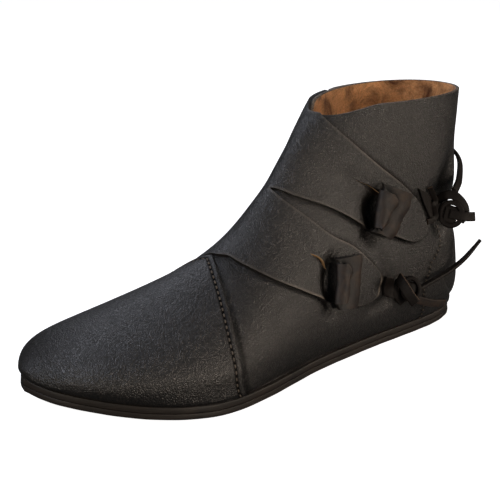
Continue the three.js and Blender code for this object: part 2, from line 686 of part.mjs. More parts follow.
shoe.add(namedMesh('lower_thong_stub', thongGeometry(LOWER_STUB), TRIM_LEATHER));

// The origin is under the middle of the shoe without its thongs
const body = shoe.children.filter((mesh) => !mesh.name.includes('thong'));
const reach = new THREE.Box3();
for (const mesh of body) reach.expandByObject(mesh);
const middle = reach.getCenter(new THREE.Vector3());
shoe.position.set(-middle.x, -middle.y, 0);

export default shoe;
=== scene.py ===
import bmesh
import bpy
import numpy as np
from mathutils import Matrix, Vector


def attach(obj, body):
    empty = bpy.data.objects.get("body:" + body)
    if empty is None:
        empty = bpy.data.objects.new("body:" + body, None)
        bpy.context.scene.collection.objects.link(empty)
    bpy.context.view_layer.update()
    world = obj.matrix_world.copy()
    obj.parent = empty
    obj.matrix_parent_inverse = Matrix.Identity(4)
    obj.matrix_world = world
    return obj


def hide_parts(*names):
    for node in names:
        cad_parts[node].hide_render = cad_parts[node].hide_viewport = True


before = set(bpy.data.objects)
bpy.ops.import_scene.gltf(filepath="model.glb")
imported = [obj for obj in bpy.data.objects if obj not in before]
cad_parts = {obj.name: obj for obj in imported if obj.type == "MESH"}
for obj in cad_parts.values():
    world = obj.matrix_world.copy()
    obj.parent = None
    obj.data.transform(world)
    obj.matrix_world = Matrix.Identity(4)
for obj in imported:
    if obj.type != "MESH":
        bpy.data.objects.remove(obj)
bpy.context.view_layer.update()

# Outsole and midsole: two layers of thick vegetable-tanned leather, cut to the last's outline,
# pressed together and stained. Their cut edge is burnished brown-black, with a fine line
# between the layers; the underside is the bare, scuffed face of the leather.
LAST_LENGTH = 285
BALL_HALF = 49.5
HEEL_SET_IN = 2
SPINE_FROM_HEEL = 26
SPINE_FROM_TOE = 34
OUTSOLE_THICK = 3.4
MIDSOLE_THICK = 3.3
LAYER_GAP = 0.3
SEEN_GAP = 0.12
SOLE_THICK = OUTSOLE_THICK + LAYER_GAP + MIDSOLE_THICK
TOE_SPRING = 11.4
SPRING_START = 0.68
ORIGIN_SHIFT = np.array([-2.0175, 4.9283, 0.0])

# Share of the sole's length from the heel, half width as a share of BALL_HALF
OUTLINE = [
    (0.000, 0.000), (0.008, 0.287), (0.045, 0.478), (0.120, 0.603), (0.220, 0.638),
    (0.340, 0.660), (0.460, 0.710), (0.570, 0.837), (0.670, 0.970), (0.750, 0.995),
    (0.830, 0.900), (0.900, 0.710), (0.950, 0.510), (0.985, 0.280), (1.000, 0.000),
]
# Share of LAST_LENGTH from the heel, shift of the middle line outward as a share of BALL_HALF
BEND = [(0.00, 0.000), (0.20, 0.000), (0.45, 0.115), (0.70, 0.125), (1.00, -0.182)]


def natural_spline(values, flat_start=False):
    """Cubic curve through evenly spaced values, straight past its ends. Its second differences
    solve 4c + both neighbours = 6 times the values' second differences, with none at the ends,
    or with a level start."""
    values = np.asarray(values, float)
    count = len(values)
    system = np.eye(count)
    load = np.zeros(count)
    inner = np.arange(1, count - 1)
    system[inner, inner - 1] = 1
    system[inner, inner] = 4
    system[inner, inner + 1] = 1
    load[inner] = 6 * (values[2:] - 2 * values[1:-1] + values[:-2])
    if flat_start:
        system[0, 1] = 0.5
        load[0] = 3 * (values[1] - values[0])
    bend = np.linalg.solve(system, load)

    def value_at(place):
        """The piece's two end values and second differences, weighted by f, g and their cubes."""
        inside = np.clip(place, 0, count - 1)
        low = np.minimum(inside.astype(int), count - 2)
        f = inside - low
        g = 1 - f
        value = g * values[low] + f * values[low + 1]
        value = value + ((g**3 - g) * bend[low] + (f**3 - f) * bend[low + 1]) / 6
        slope = values[low + 1] - values[low]
        slope = slope + ((1 - 3 * g * g) * bend[low] + (3 * f * f - 1) * bend[low + 1]) / 6
        return value + slope * (place - inside)

    return value_at


def smooth_columns(table, rows):
    """Each of the table's columns as a smooth curve, at row numbers that needn't be whole."""
    return [natural_spline(column)(rows) for column in np.array(table, float).T]


def smooth_table(table):
    """Smooth curve through (place, value) rows: both columns are splines of the row's number."""
    rows = np.linspace(0, len(table) - 1, 40 * (len(table) - 1) + 1)
    places, values = smooth_columns(table, rows)
    return lambda place: np.interp(place, places, values)


outline_share = smooth_table(OUTLINE)
bend_share = smooth_table(BEND)


def sole_half(u):
    """Half width of the sole at u from the heel: the outline table, none past its ends."""
    share = (u - HEEL_SET_IN) / (LAST_LENGTH - HEEL_SET_IN)
    inside = (share > 0) & (share < 1)
    return np.where(inside, BALL_HALF * np.maximum(outline_share(share), 0), 0)


def foot_middle(u):
    """Shift of the foot's middle line outward at u from the heel."""
    return BALL_HALF * bend_share(u / LAST_LENGTH)


def spring(u):
    """Rise of the sole off the floor: a parabola from SPRING_START to the toe."""
    past = np.maximum(u / LAST_LENGTH - SPRING_START, 0) / (1 - SPRING_START)
    return TOE_SPRING * past * past


def spine_place(u):
    """Place nearest to u on the sole's spine, which stops short of the heel and the toe."""
    return np.clip(u, SPINE_FROM_HEEL, LAST_LENGTH - SPINE_FROM_TOE)


def place(u, v, z):
    """Metres in the shoe's frame of u forward from the heel, v outward and z up."""
    u, v, z = np.broadcast_arrays(u, v, z)
    return (np.stack([LAST_LENGTH / 2 - u, -v, z], axis=-1) + ORIGIN_SHIFT) / 1000


def grid_faces(rows, columns, closed_rows=False, closed_columns=False):
    """Quads between neighbouring points of a grid that is stored row by row."""
    r = np.arange(rows if closed_rows else rows - 1)[:, None]
    c = np.arange(columns if closed_columns else columns - 1)[None, :]
    r_next = (r + 1) % rows
    c_next = (c + 1) % columns
    corners = [r * columns + c, r * columns + c_next, r_next * columns + c_next, r_next * columns + c]
    return np.stack(corners, axis=-1)


def leather_piece(name, points, faces, materials, face_material=None, weld=0.00001, sharp=40,
                  marks=None):
    """Mesh object of the points and quads: doubles merged within weld metres, normals turned
    outward, shaded smooth apart from edges over the sharp angle. Marks are values by point that
    its finish reads by their names."""
    mesh = bpy.data.meshes.new(name)
    mesh.from_pydata(points.reshape(-1, 3).tolist(), [], faces.reshape(-1, 4).tolist())
    for material in materials:
        mesh.materials.append(material)
    if face_material is not None:
        mesh.polygons.foreach_set("material_index", np.ravel(face_material).astype(np.int32))
    for mark, values in (marks or {}).items():
        layer = mesh.attributes.new(mark, "FLOAT", "POINT")
        layer.data.foreach_set("value", np.ravel(values).astype(np.float32))
    shell = bmesh.new()
    shell.from_mesh(mesh)
    bmesh.ops.remove_doubles(shell, verts=shell.verts, dist=weld)
    bmesh.ops.dissolve_degenerate(shell, edges=shell.edges, dist=weld / 10)
    bmesh.ops.recalc_face_normals(shell, faces=shell.faces)
    shell.to_mesh(mesh)
    shell.free()
    mesh.shade_smooth()
    mesh.set_sharp_from_angle(angle=np.radians(sharp))
    piece = bpy.data.objects.new(name, mesh)
    bpy.context.scene.collection.objects.link(piece)
    return piece


# Rows of a sole layer's faces, as shares of the way from the spine to the edge
FACE_SHARES = (0, 0.35, 0.7, 0.93)


def sole_layer(low, high, set_in, foot_round, top_round):
    """Slab on the sole's outline, as rows of a section by columns of a turn round the outline:
    from the spine of the underside out to the edge, up it and back to the spine on top. The
    knife has wandered by a tenth of a millimetre along the edge."""
    turn = np.linspace(0, 2 * np.pi, 361)[:-1]
    u = HEEL_SET_IN + (1 - np.cos(turn)) / 2 * (LAST_LENGTH - HEEL_SET_IN)
    wobble = 0.10 * np.sin(17 * turn + 1) + 0.07 * np.sin(41 * turn + 2)
    v = foot_middle(u) + np.sign(np.sin(turn)) * sole_half(u)
    ahead = np.roll(u, -1) - np.roll(u, 1), np.roll(v, -1) - np.roll(v, 1)
    size = np.hypot(*ahead)
    in_u, in_v = ahead[1] / size, -ahead[0] / size
    spine_u = spine_place(u)
    quarter = np.linspace(0, np.pi / 2, 5)
    rows = [(share, foot_round, low) for share in FACE_SHARES]
    rows += [(1, foot_round * (1 - np.sin(a)), low + foot_round * (1 - np.cos(a))) for a in quarter]
    rows += [(1, -0.12, (low + high) / 2)]
    rows += [(1, top_round * (1 - np.cos(a)), high - top_round * (1 - np.sin(a))) for a in quarter]
    rows += [(share, top_round, high) for share in FACE_SHARES[::-1]]
    share, inset, height = (np.array(column)[:, None] for column in zip(*rows))
    inset = inset + set_in + wobble
    edge_u = u + in_u * inset
    edge_v = v + in_v * inset
    at_u = spine_u + (edge_u - spine_u) * share
    at_v = foot_middle(spine_u) + (edge_v - foot_middle(spine_u)) * share
    points = place(at_u, at_v, height + spring(at_u))
    faces = grid_faces(len(rows), len(turn), closed_columns=True)
    under_rows = np.arange(len(rows) - 1)[:, None] < len(FACE_SHARES)
    return points, faces, np.broadcast_to(under_rows, faces.shape[:2])


def srgb(code):
    """Linear colour of an sRGB hex value."""
    share = np.array([(code >> shift & 255) / 255 for shift in (16, 8, 0)])
    linear = np.where(share <= 0.04045, share / 12.92, ((share + 0.055) / 1.055) ** 2.4)
    return (*linear, 1.0)


def set_inputs(material, node, inputs):
    """Joins the node's inputs to other nodes' outputs, or sets their values."""
    for socket, value in inputs.items():
        if isinstance(value, bpy.types.NodeSocket):
            material.node_tree.links.new(value, node.inputs[socket])
        else:
            node.inputs[socket].default_value = value


def add_node(material, kind, inputs=None, **settings):
    """One node with its settings and its inputs."""
    node = material.node_tree.nodes.new(kind)
    for setting, value in settings.items():
        setattr(node, setting, value)
    set_inputs(material, node, inputs or {})
    return node


def new_finish(name):
    """Empty material, and the object's own coordinates in it."""
    material = bpy.data.materials.new(name)
    material.use_nodes = True
    return material, add_node(material, "ShaderNodeTexCoord").outputs["Object"]


def noise(material, where, scale, detail, roughness=0.5, distortion=0.0):
    """Cloudy values round a half, in cells of one metre over the scale."""
    return add_node(material, "ShaderNodeTexNoise", {
        "Vector": where, "Scale": scale, "Detail": detail, "Roughness": roughness,
        "Distortion": distortion}).outputs["Fac"]


def spread(material, value, low, high, start=0.0, end=1.0, **settings):
    """The value carried from between low and high to between start and end, and no further."""
    return add_node(material, "ShaderNodeMapRange", {
        "Value": value, "From Min": low, "From Max": high, "To Min": start, "To Max": end},
        **settings).outputs[0]


def blend(material, share, *colours):
    """Colour a share of the way between two, each an sRGB hex value or a node's output."""
    first, second = (srgb(colour) if isinstance(colour, int) else colour for colour in colours)
    return add_node(material, "ShaderNodeMix", {
        0: share, 6: first, 7: second}, data_type="RGBA").outputs[2]


def set_surface(material, colour, roughness, relief=None, extra=None):
    """Sets the material's shader: its colour, its roughness, a relief given as a height with its
    strength and its depth in metres, and extra inputs by their names."""
    inputs = {"Base Color": colour, "Roughness": roughness, **(extra or {})}
    if relief:
        height, strength, depth = relief
        inputs["Normal"] = add_node(material, "ShaderNodeBump", {
            "Height": height, "Strength": strength, "Distance": depth}).outputs[0]
    set_inputs(material, material.node_tree.nodes["Principled BSDF"], inputs)


# Burnished edge: stained, rubbed with wax until it shines dully; fine fibres run along it
burnished_edge, where = new_finish("burnished stained sole edge")
along = add_node(burnished_edge, "ShaderNodeMapping", {"Vector": where, "Scale": (90, 90, 1500)})
fibres = noise(burnished_edge, along.outputs[0], 1.0, 4.0, 0.65)
patches = noise(burnished_edge, where, 60.0, 3.0)
tone = add_node(burnished_edge, "ShaderNodeMath", {0: fibres, 1: patches}, operation="MULTIPLY")
tone = spread(burnished_edge, tone.outputs[0], 0.12, 0.42)
colour = blend(burnished_edge, tone, 0x14110E, 0x2B231D)
set_surface(burnished_edge, colour, 0.55, relief=(fibres, 0.45, 0.0003))

# Underside: the flesh face of sole leather, stained and dull, with scuffs along the walk
scuffed_sole, where = new_finish("scuffed sole leather face")
stroke = add_node(scuffed_sole, "ShaderNodeMapping", {"Vector": where, "Scale": (60, 260, 200)})
scuffs = noise(scuffed_sole, stroke.outputs[0], 1.0, 6.0, 0.7)
scuff_tone = spread(scuffed_sole, scuffs, 0.42, 0.72)
colour = blend(scuffed_sole, scuff_tone, 0x231C17, 0x4C3D31)
set_surface(scuffed_sole, colour, 0.8, relief=(scuffs, 0.5, 0.0004))

points, faces, underside = sole_layer(0, OUTSOLE_THICK, 0, 0.9, 0.35)
outsole = leather_piece("outsole_layer", points, faces, [burnished_edge, scuffed_sole], underside)
points, faces, underside = sole_layer(OUTSOLE_THICK + SEEN_GAP, SOLE_THICK, 0.3, 0.3, 0.6)
midsole = leather_piece("midsole_layer", points, faces, [burnished_edge, scuffed_sole], underside)
for piece, node in ((outsole, "outsole"), (midsole, "midsole")):
    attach(piece, "root")
    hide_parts(node)

# Insole: a thin sheet of undyed leather laid in the shoe, grain side up, a few millimetres
# inside the upper. Its face is smooth and dulled where the heel and the ball press.
INSOLE_THICK = 2
INSOLE_SET_IN = 5.2

undyed_grain, where = new_finish("undyed calf, grain side")
pores = noise(undyed_grain, where, 900.0, 4.0)
stain_tone = spread(undyed_grain, noise(undyed_grain, where, 35.0, 4.0), 0.35, 0.7)
colour = blend(undyed_grain, stain_tone, 0x9C6E45, 0x7A5230)
set_surface(undyed_grain, colour, 0.62, relief=(pores, 0.3, 0.0002))

points, faces, underside = sole_layer(
    SOLE_THICK + LAYER_GAP, SOLE_THICK + LAYER_GAP + INSOLE_THICK, INSOLE_SET_IN, 0.3, 0.6)
insole = leather_piece("insole_sheet", points, faces, [undyed_grain])
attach(insole, "root")
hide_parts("insole")

# Upper: vamp and quarters of 2 mm calf, black and waxed outside, undyed flesh side inside,
# drawn over the last and turned in under its lower edge. The vamp's cut edge lies over the
# quarters and the wrap at a slanted seam across the instep.
COLLAR_HEIGHT = 142
SHAFT_RISE = COLLAR_HEIGHT - SOLE_THICK
WALL = 2
WRAP_THICK = 2
WRAP_DEPTH = 2.3
WIDEST_GIRTH = 0.6
ROUNDNESS = 2.2
MEDIAL_SEAM = 0.45
MEDIAL_STEP = 0.015

# Stations of the last, a fan of planes from the toe (0) round the heel to the collar (18):
# ridge along and up, base along and up, half width, belly and gable, as in the part's source
STATIONS = np.array([
    (1.000, 0.028, 1.000, 0.028, 0.000, 0.35, 0.00), (0.988, 0.060, 0.994, 0.000, 0.222, 0.35, 0.05),
    (0.971, 0.095, 0.975, 0.000, 0.444, 0.35, 0.10), (0.945, 0.152, 0.945, 0.000, 0.646, 0.32, 0.15),
    (0.897, 0.218, 0.895, 0.000, 0.824, 0.28, 0.22), (0.818, 0.296, 0.820, 0.000, 0.956, 0.24, 0.30),
    (0.729, 0.373, 0.735, 0.000, 1.010, 0.22, 0.38), (0.640, 0.447, 0.640, 0.000, 0.966, 0.22, 0.42),
    (0.573, 0.533, 0.540, 0.000, 0.867, 0.24, 0.40), (0.526, 0.627, 0.430, 0.000, 0.782, 0.26, 0.36),
    (0.492, 0.701, 0.300, 0.000, 0.745, 0.28, 0.32), (0.470, 0.761, 0.170, 0.000, 0.743, 0.32, 0.28),
    (0.453, 0.809, 0.055, 0.000, 0.735, 0.36, 0.25), (0.445, 0.831, 0.004, 0.000, 0.727, 0.38, 0.23),
    (0.437, 0.853, -0.014, 0.089, 0.713, 0.40, 0.22), (0.423, 0.893, -0.007, 0.281, 0.691, 0.42, 0.20),
    (0.407, 0.932, 0.001, 0.519, 0.679, 0.44, 0.19), (0.392, 0.967, 0.006, 0.763, 0.659, 0.46, 0.19),
    (0.377, 0.994, 0.001, 1.000, 0.646, 0.47, 0.19),
])
COLLAR_STATION = len(STATIONS) - 1
(ridge_along, ridge_up, base_along, base_up, half_share, belly_share, gable_share) = (
    natural_spline(column, flat_start=number in (0, 2))
    for number, column in enumerate(STATIONS.T))

# Girth and station of the vamp's cut edge
VAMP_SEAM = [(0.00, 7.12), (0.25, 6.81), (0.40, 6.60), (0.55, 6.53), (0.80, 6.62), (1.00, 6.74)]
seam_station = smooth_table(VAMP_SEAM)


def last_point(station, girth):
    """Point of the last. Above the widest girth the section is a quarter ellipse pinched by the
    gable; below it, a superellipse of power ROUNDNESS that ends on the sole's edge."""
    station, girth = np.broadcast_arrays(station, girth)
    ridge_u = LAST_LENGTH * ridge_along(station)
    base_u = LAST_LENGTH * base_along(station)
    ridge_z = SOLE_THICK + spring(ridge_u) + SHAFT_RISE * ridge_up(station)
    base_z = SOLE_THICK + spring(base_u) + SHAFT_RISE * base_up(station)
    half = BALL_HALF * half_share(station)
    belly = belly_share(station)
    side = np.abs(girth)
    turn = (1 - np.minimum(side / WIDEST_GIRTH, 1)) * np.pi / 2
    rise_over = belly + (1 - belly) * np.sin(turn)
    width_over = np.cos(turn) * (1 - gable_share(station) * np.sin(turn) ** 2)
    down = np.clip((side - WIDEST_GIRTH) / (1 - WIDEST_GIRTH), 0, 1)
    sweep = np.maximum(1 - np.cos(down * np.pi / 2) ** ROUNDNESS, 0) ** (1 / ROUNDNESS)
    foot = np.where(half > 0, np.minimum(sole_half(base_u) / np.maximum(half, 1e-9), 1), 0)
    rise_under = belly * (1 - sweep)
    width_under = np.maximum(1 - (1 - foot**ROUNDNESS) * sweep**ROUNDNESS, 0) ** (1 / ROUNDNESS)
    over = side <= WIDEST_GIRTH
    rise = np.where(over, rise_over, rise_under)
    width = np.where(over, width_over, width_under)
    u = base_u + (ridge_u - base_u) * rise
    z = base_z + (ridge_z - base_z) * rise
    return place(u, foot_middle(u) + np.sign(girth) * half * width, z)


def on_back_line(station):
    """True where both edges of a station meet on the back of the heel."""
    return sole_half(LAST_LENGTH * base_along(station)) == 0


def last_normal(station, girth):
    """Outward normal of the last: the cross product of its two central differences."""
    step = 0.01
    station, girth = np.broadcast_arrays(station, girth)
    before = np.maximum(station - step, 2 * step)
    along_station = last_point(station + step, girth) - last_point(before, girth)
    along_girth = last_point(station, np.minimum(girth + step, 1))
    along_girth = along_girth - last_point(station, np.maximum(girth - step, -1))
    normal = np.cross(along_girth, along_station)
    normal[..., 1] = np.where((np.abs(girth) == 1) & on_back_line(station), 0, normal[..., 1])
    return normal / np.maximum(np.linalg.norm(normal, axis=-1, keepdims=True), 1e-12)


def smoothstep(value, start, end):
    """Share of the way from start to end, eased at both: 3 squares of it less 2 cubes."""
    share = np.clip((value - start) / (end - start), 0, 1)
    return share * share * (3 - 2 * share)


def collar_station(girth):
    """The collar's station, lower beside the wrap on the outer side."""
    dip = smoothstep(girth, -0.14, 0.02) * (1 - smoothstep(girth, 0.12, 0.42))
    return COLLAR_STATION - 0.9 * dip


def wrap_bed(station, girth, medial_from):
    """Depth of the bed that the quarters leave for the wrap: full over the instep, fading out
    over the outer side of the shaft and at the seam on the inner side."""
    medial_to = MEDIAL_SEAM + MEDIAL_STEP if medial_from == MEDIAL_SEAM else 0.8
    outer_away = smoothstep(girth, 0.15, 0.8)
    away = np.where(girth >= 0, outer_away, smoothstep(-girth, medial_from, medial_to))
    return WRAP_DEPTH * (1 - away * smoothstep(station, 7.5, 11))


# Troughs (depth over 0) and ridges (under 0) that wear and the closures have left in the
# leather: a path of (station, girth) points, depth at its middle, and half width
CREASES = [
    ([(14.0, 0.402), (13.4, 0.402), (12.6, 0.410), (11.9, 0.435), (11.3, 0.462)], 6.6, 5.6),
    ([(9.98, 0.430), (9.68, 0.455), (9.46, 0.490), (9.36, 0.530), (9.26, 0.575)], 6.0, 5.2),
    ([(17.0, 0.80), (16.5, 0.76), (16.0, 0.72), (15.5, 0.69), (14.9, 0.69)], 3.4, 8.0),
    ([(15.9, 0.70), (15.75, 0.77), (15.6, 0.84), (15.5, 0.91), (15.4, 0.97)], 5.2, 9.0),
    ([(15.6, 0.645), (15.3, 0.665), (15.05, 0.675), (14.7, 0.67)], 5.0, 5.5),
    ([(10.6, 0.585), (10.8, 0.61), (10.95, 0.64)], 3.4, 4.6),
    ([(11.3, 0.50), (11.1, 0.56), (11.0, 0.62)], 1.6, 4.0),
    ([(10.1, 0.66), (10.5, 0.655), (10.85, 0.66)], 2.0, 4.2),
    ([(9.9, 0.28), (9.6, 0.36), (9.5, 0.42)], -0.7, 4.0),
    ([(14.9, 0.26), (14.7, 0.34), (14.6, 0.42)], -0.6, 5.0),
]
CREASE_STEPS = 40


def crease_depth(points):
    """Depth in mm of all the creases at points of the last: each is a bell curve of the distance
    to its path, full at the path's middle and fading to its ends."""
    flat = points.reshape(-1, 3)
    depth = np.zeros(len(flat))
    share = np.linspace(0, 1, CREASE_STEPS)
    for path, deepest, half_width in CREASES:
        line = last_point(*smooth_columns(path, share * (len(path) - 1)))
        near = np.linalg.norm(flat - line[CREASE_STEPS // 2], axis=1) < 0.09
        away = np.linalg.norm(flat[near][:, None] - line[None], axis=2)
        strength = np.sin(np.pi * (0.04 + 0.92 * share)) ** 0.7
        bell = strength * np.exp(-((away * 1000 / half_width) ** 2))
        depth[near] += deepest * bell.max(axis=1)
    return depth.reshape(points.shape[:-1])


def under_surface(station, girth, depth):
    """Points a depth in mm under the last's surface, creases included."""
    station, girth, depth = np.broadcast_arrays(station, girth, depth)
    points = last_point(station, girth)
    depth = depth + crease_depth(points)
    return points - last_normal(station, girth) * depth[..., None] / 1000


def crease_shade(points):
    """Share of painted shade at points of the leather, by the creases' depth: darkening that stands in
    for the shadow in the creases.
    """
    return smoothstep(crease_depth(points), 0.5, 4.2)


def along_last(points):
    """Distance forward from the heel of points in metres."""
    return LAST_LENGTH / 2 - (points[..., 0] * 1000 - ORIGIN_SHIFT[0])


def sole_top(points):
    """Height that just clears the sole's top under each point, in metres."""
    return (SOLE_THICK + SEEN_GAP + spring(along_last(points))) / 1000


def turned_in(points, tuck):
    """The points kept over the sole, and drawn towards the sole's spine close to it, as the
    lasted edge is: by the tuck in mm times a bell curve of the height."""
    height = np.maximum(points[..., 2] - sole_top(points), 0) * 1000
    spine_u = spine_place(along_last(points))
    inward = place(spine_u, foot_middle(spine_u), 0) - points
    inward[..., 2] = 0
    inward /= np.maximum(np.linalg.norm(inward, axis=-1, keepdims=True), 1e-6)
    result = points + inward * (tuck / 1000 * np.exp(-((height / 1.1) ** 2)))[..., None]
    result[..., 2] = np.maximum(result[..., 2], sole_top(result))
    return result


def joined_grids(grids):
    """Points, quads and finish numbers of several grids, each given as (points, finish)."""
    points, faces, finishes = [], [], []
    count = 0
    for grid, finish in grids:
        quads = grid_faces(*grid.shape[:2]).reshape(-1, 4)
        points.append(grid.reshape(-1, 3))
        faces.append(quads + count)
        finishes.append(np.full(len(quads), finish))
        count += grid.shape[0] * grid.shape[1]
    return np.concatenate(points), np.concatenate(faces), np.concatenate(finishes)


def rounded_rim(outside, inside, rise):
    """Rows from one edge of a leather's face to the other round its cut edge, which bulges by
    the rise in mm away from the row of leather before it."""
    share = np.linspace(0, 1, 6)[:, None, None]
    outward = (outside[-1] - outside[-2]) + (inside[-1] - inside[-2])
    outward /= np.maximum(np.linalg.norm(outward, axis=-1, keepdims=True), 1e-12)
    bulge = rise / 1000 * np.sin(np.pi * share) ** 0.6
    return outside[-1] + (inside[-1] - outside[-1]) * share + outward * bulge


# Edges of the wrap's two tongues, by rows of (station, girth) of the top edge and of the lower
# one, from the inner side's seam over the instep to the round ends. They meet over the first rows
WELD_ROWS = 3
UPPER_TONGUE = np.array([
    (18.60, -0.440, 9.85, -0.440), (18.60, -0.300, 9.85, -0.300), (18.60, -0.120, 9.82, -0.120),
    (18.10, 0.000, 9.78, 0.018), (17.20, 0.090, 10.02, 0.110), (16.47, 0.183, 10.36, 0.200),
    (15.98, 0.267, 11.00, 0.300), (15.64, 0.342, 11.40, 0.383), (15.38, 0.420, 11.70, 0.445),
    (15.24, 0.495, 12.20, 0.487), (15.10, 0.550, 12.85, 0.527), (14.86, 0.588, 13.50, 0.562),
    (14.30, 0.605, 14.30, 0.605),
])
LOWER_TONGUE = np.array([
    (9.85, -0.440, 6.75, -0.440), (9.85, -0.300, 6.88, -0.300), (9.82, -0.120, 7.12, -0.120),
    (9.78, 0.018, 7.20, 0.020), (9.76, 0.110, 7.34, 0.100), (9.87, 0.200, 7.48, 0.190),
    (10.12, 0.300, 7.87, 0.308), (10.34, 0.375, 8.34, 0.400), (10.66, 0.433, 8.90, 0.487),
    (10.78, 0.483, 9.36, 0.550), (10.84, 0.533, 9.80, 0.597), (10.76, 0.578, 10.16, 0.614),
    (10.48, 0.607, 10.48, 0.607),
])


def broken_spline(values, at):
    """Smooth up to the notch between the tongues and smooth past it, with a corner there."""
    before = natural_spline(values[:WELD_ROWS + 1])(np.minimum(at, WELD_ROWS))
    after = natural_spline(values[WELD_ROWS:])(np.maximum(at, WELD_ROWS) - WELD_ROWS)
    return np.where(at <= WELD_ROWS, before, after)


def tongue_grid(table, per_row, across, top_broken, low_broken):
    """Station and girth over a tongue: along its table's rows, straight from edge to edge and
    closer together at the edges."""
    at = np.linspace(0, len(table) - 1, per_row * (len(table) - 1) + 1)
    top_station, top_girth, low_station, low_girth = (
        broken_spline(column, at) if broken else natural_spline(column)(at)
        for column, broken in zip(table.T, (top_broken, top_broken, low_broken, low_broken)))
    top_station = np.minimum(top_station, collar_station(top_girth))
    hidden = seam_station(np.abs(low_girth)) + 0.03
    low_station = np.maximum(low_station, hidden)
    share = (1 - np.cos(np.pi * np.linspace(0, 1, across + 1)[:, None])) / 2
    return top_station + (low_station - top_station) * share, top_girth + (low_girth - top_girth) * share


def tongue_outline():
    """Points on the last along the free edges of both tongues."""
    lines = []
    for table, top_broken, low_broken in ((UPPER_TONGUE, False, True), (LOWER_TONGUE, True, False)):
        stations, tongue_girths = tongue_grid(table, 24, 1, top_broken, low_broken)
        free = slice(24 * WELD_ROWS, None)
        lines += [last_point(stations[row, free], tongue_girths[row, free]) for row in (0, 1)]
    return np.concatenate(lines)


def near_line(points, line, reach):
    """Share from 1 on a line of points to 0 past the reach in mm, as a bell curve."""
    flat = points.reshape(-1, 3)
    nearest = np.concatenate([
        np.linalg.norm(chunk[:, None] - line[None], axis=2).min(axis=1)
        for chunk in np.array_split(flat, 40)]).reshape(points.shape[:-1])
    return np.exp(-((nearest * 1000 / reach) ** 4))


# The heel stiffener's stitched edge, on both sides of the shoe
HEEL_ROW = [(14.90, 0.685), (14.30, 0.665), (13.60, 0.640), (12.86, 0.633), (12.10, 0.658),
            (11.72, 0.690), (11.47, 0.742), (11.33, 0.808), (11.19, 0.880), (11.08, 0.970)]
heel_at = np.linspace(0, len(HEEL_ROW) - 1, 300)
heel_stations, heel_girths = smooth_columns(HEEL_ROW, heel_at)

# The vamp seam's row of stitches lies this share of a station before the cut edge
SEAM_ROW = 0.155
seam_girths = np.linspace(-1, 1, 400)
seam_line = last_point(seam_station(np.abs(seam_girths)) + 0.06, seam_girths)
seam_row = last_point(seam_station(np.abs(seam_girths)) - SEAM_ROW, seam_girths)

SEAM_EDGE = 0.012
EDGE_REACH = 0.35
edge_shares = 1 - 0.04 * (1 - np.linspace(0, 1, 10)[1:]) ** 1.6
half_girths = np.concatenate([np.linspace(0, 0.96, 88), edge_shares])
girths = np.concatenate([-half_girths[:0:-1], half_girths])
seam = seam_station(np.abs(girths))


def upper_rows(first_station):
    """Station of each row at each girth: from the toe to the vamp's cut edge, closer together
    over the last few millimetres, then from the edge to the collar."""
    open_rows = np.linspace(0, 1, 78)[:, None] ** 0.8
    edge_rows = np.linspace(0, 1, 15)[1:, None]
    shaft_rows = np.linspace(0, 1, 138)[:, None]
    open_vamp = first_station + (seam - EDGE_REACH - first_station) * open_rows
    edge_vamp = seam - EDGE_REACH + (EDGE_REACH - SEAM_EDGE) * edge_rows
    shaft = seam + SEAM_EDGE + (collar_station(girths) - seam - SEAM_EDGE) * shaft_rows
    return np.concatenate([open_vamp, edge_vamp, shaft])


outer_stations = upper_rows(0.0)
past_seam = outer_stations - seam
quarter_bare = smoothstep(girths, 0.30, 0.42) + smoothstep(-girths, 0.45, 0.50)
shallow = 0.9 * quarter_bare * (1 - smoothstep(past_seam, 0.0, 1.2))
medial_groove = 0.9 * np.exp(-(((-girths - 0.475) / 0.02) ** 2))
quarter_depth = wrap_bed(outer_stations, girths, MEDIAL_SEAM) - shallow + medial_groove
vamp_depth = (
    -0.35 * smoothstep(past_seam, -0.30, -0.06)
    + 0.35 * smoothstep(past_seam, -0.045, -SEAM_EDGE)
    + 0.40 * np.exp(-(((past_seam + SEAM_ROW) / 0.035) ** 2)))
outer = under_surface(outer_stations, girths, np.where(past_seam < 0, vamp_depth, quarter_depth))
behind = on_back_line(outer_stations)
outer = np.where(behind[..., None], outer, turned_in(outer, 0.9))

inner_stations = upper_rows(0.45)
inner_depth = WALL + wrap_bed(inner_stations, girths, MEDIAL_SEAM + MEDIAL_STEP) * smoothstep(
    inner_stations, seam - 1.2, seam - 0.15)
inner = under_surface(inner_stations, girths, inner_depth)
inner[..., 2] = np.where(behind, inner[..., 2], np.maximum(inner[..., 2], sole_top(inner)))
inner[0] = inner[0].mean(axis=0)

grounded_rows = np.count_nonzero(~behind[:, 0]) + 1
grids = [(outer, 0), (inner[:, ::-1], 1), (rounded_rim(outer, inner, 0.4), 2)]
for column in (0, -1):
    foot = outer[:, column].copy()
    foot[:, 2] = np.where(behind[:, column], foot[:, 2], sole_top(foot))
    strip = np.stack([outer[:, column], foot, inner[:, column]], axis=1)
    grids.append((strip[:grounded_rows], 0))
points, faces, finish_index = joined_grids(grids)
painted_shade = np.zeros(len(points))
# Painted shade: the leather is darkened in the creases, under the tongues' edges and beside the vamp's
# cut edge, where shadow falls, and along the stitch rows
shade_share = crease_shade(outer)
for line, reach in ((tongue_outline(), 2.3), (seam_line, 2.2), (seam_row, 1.1),
                    (last_point(heel_stations, heel_girths), 1.1),
                    (last_point(heel_stations, -heel_girths), 1.1)):
    shade_share = np.maximum(shade_share, near_line(outer, line, reach))
painted_shade[:shade_share.size] = shade_share.ravel()


def point_mark(material, name):
    """Value of one of the piece's marks."""
    return add_node(material, "ShaderNodeAttribute", attribute_name=name).outputs["Fac"]


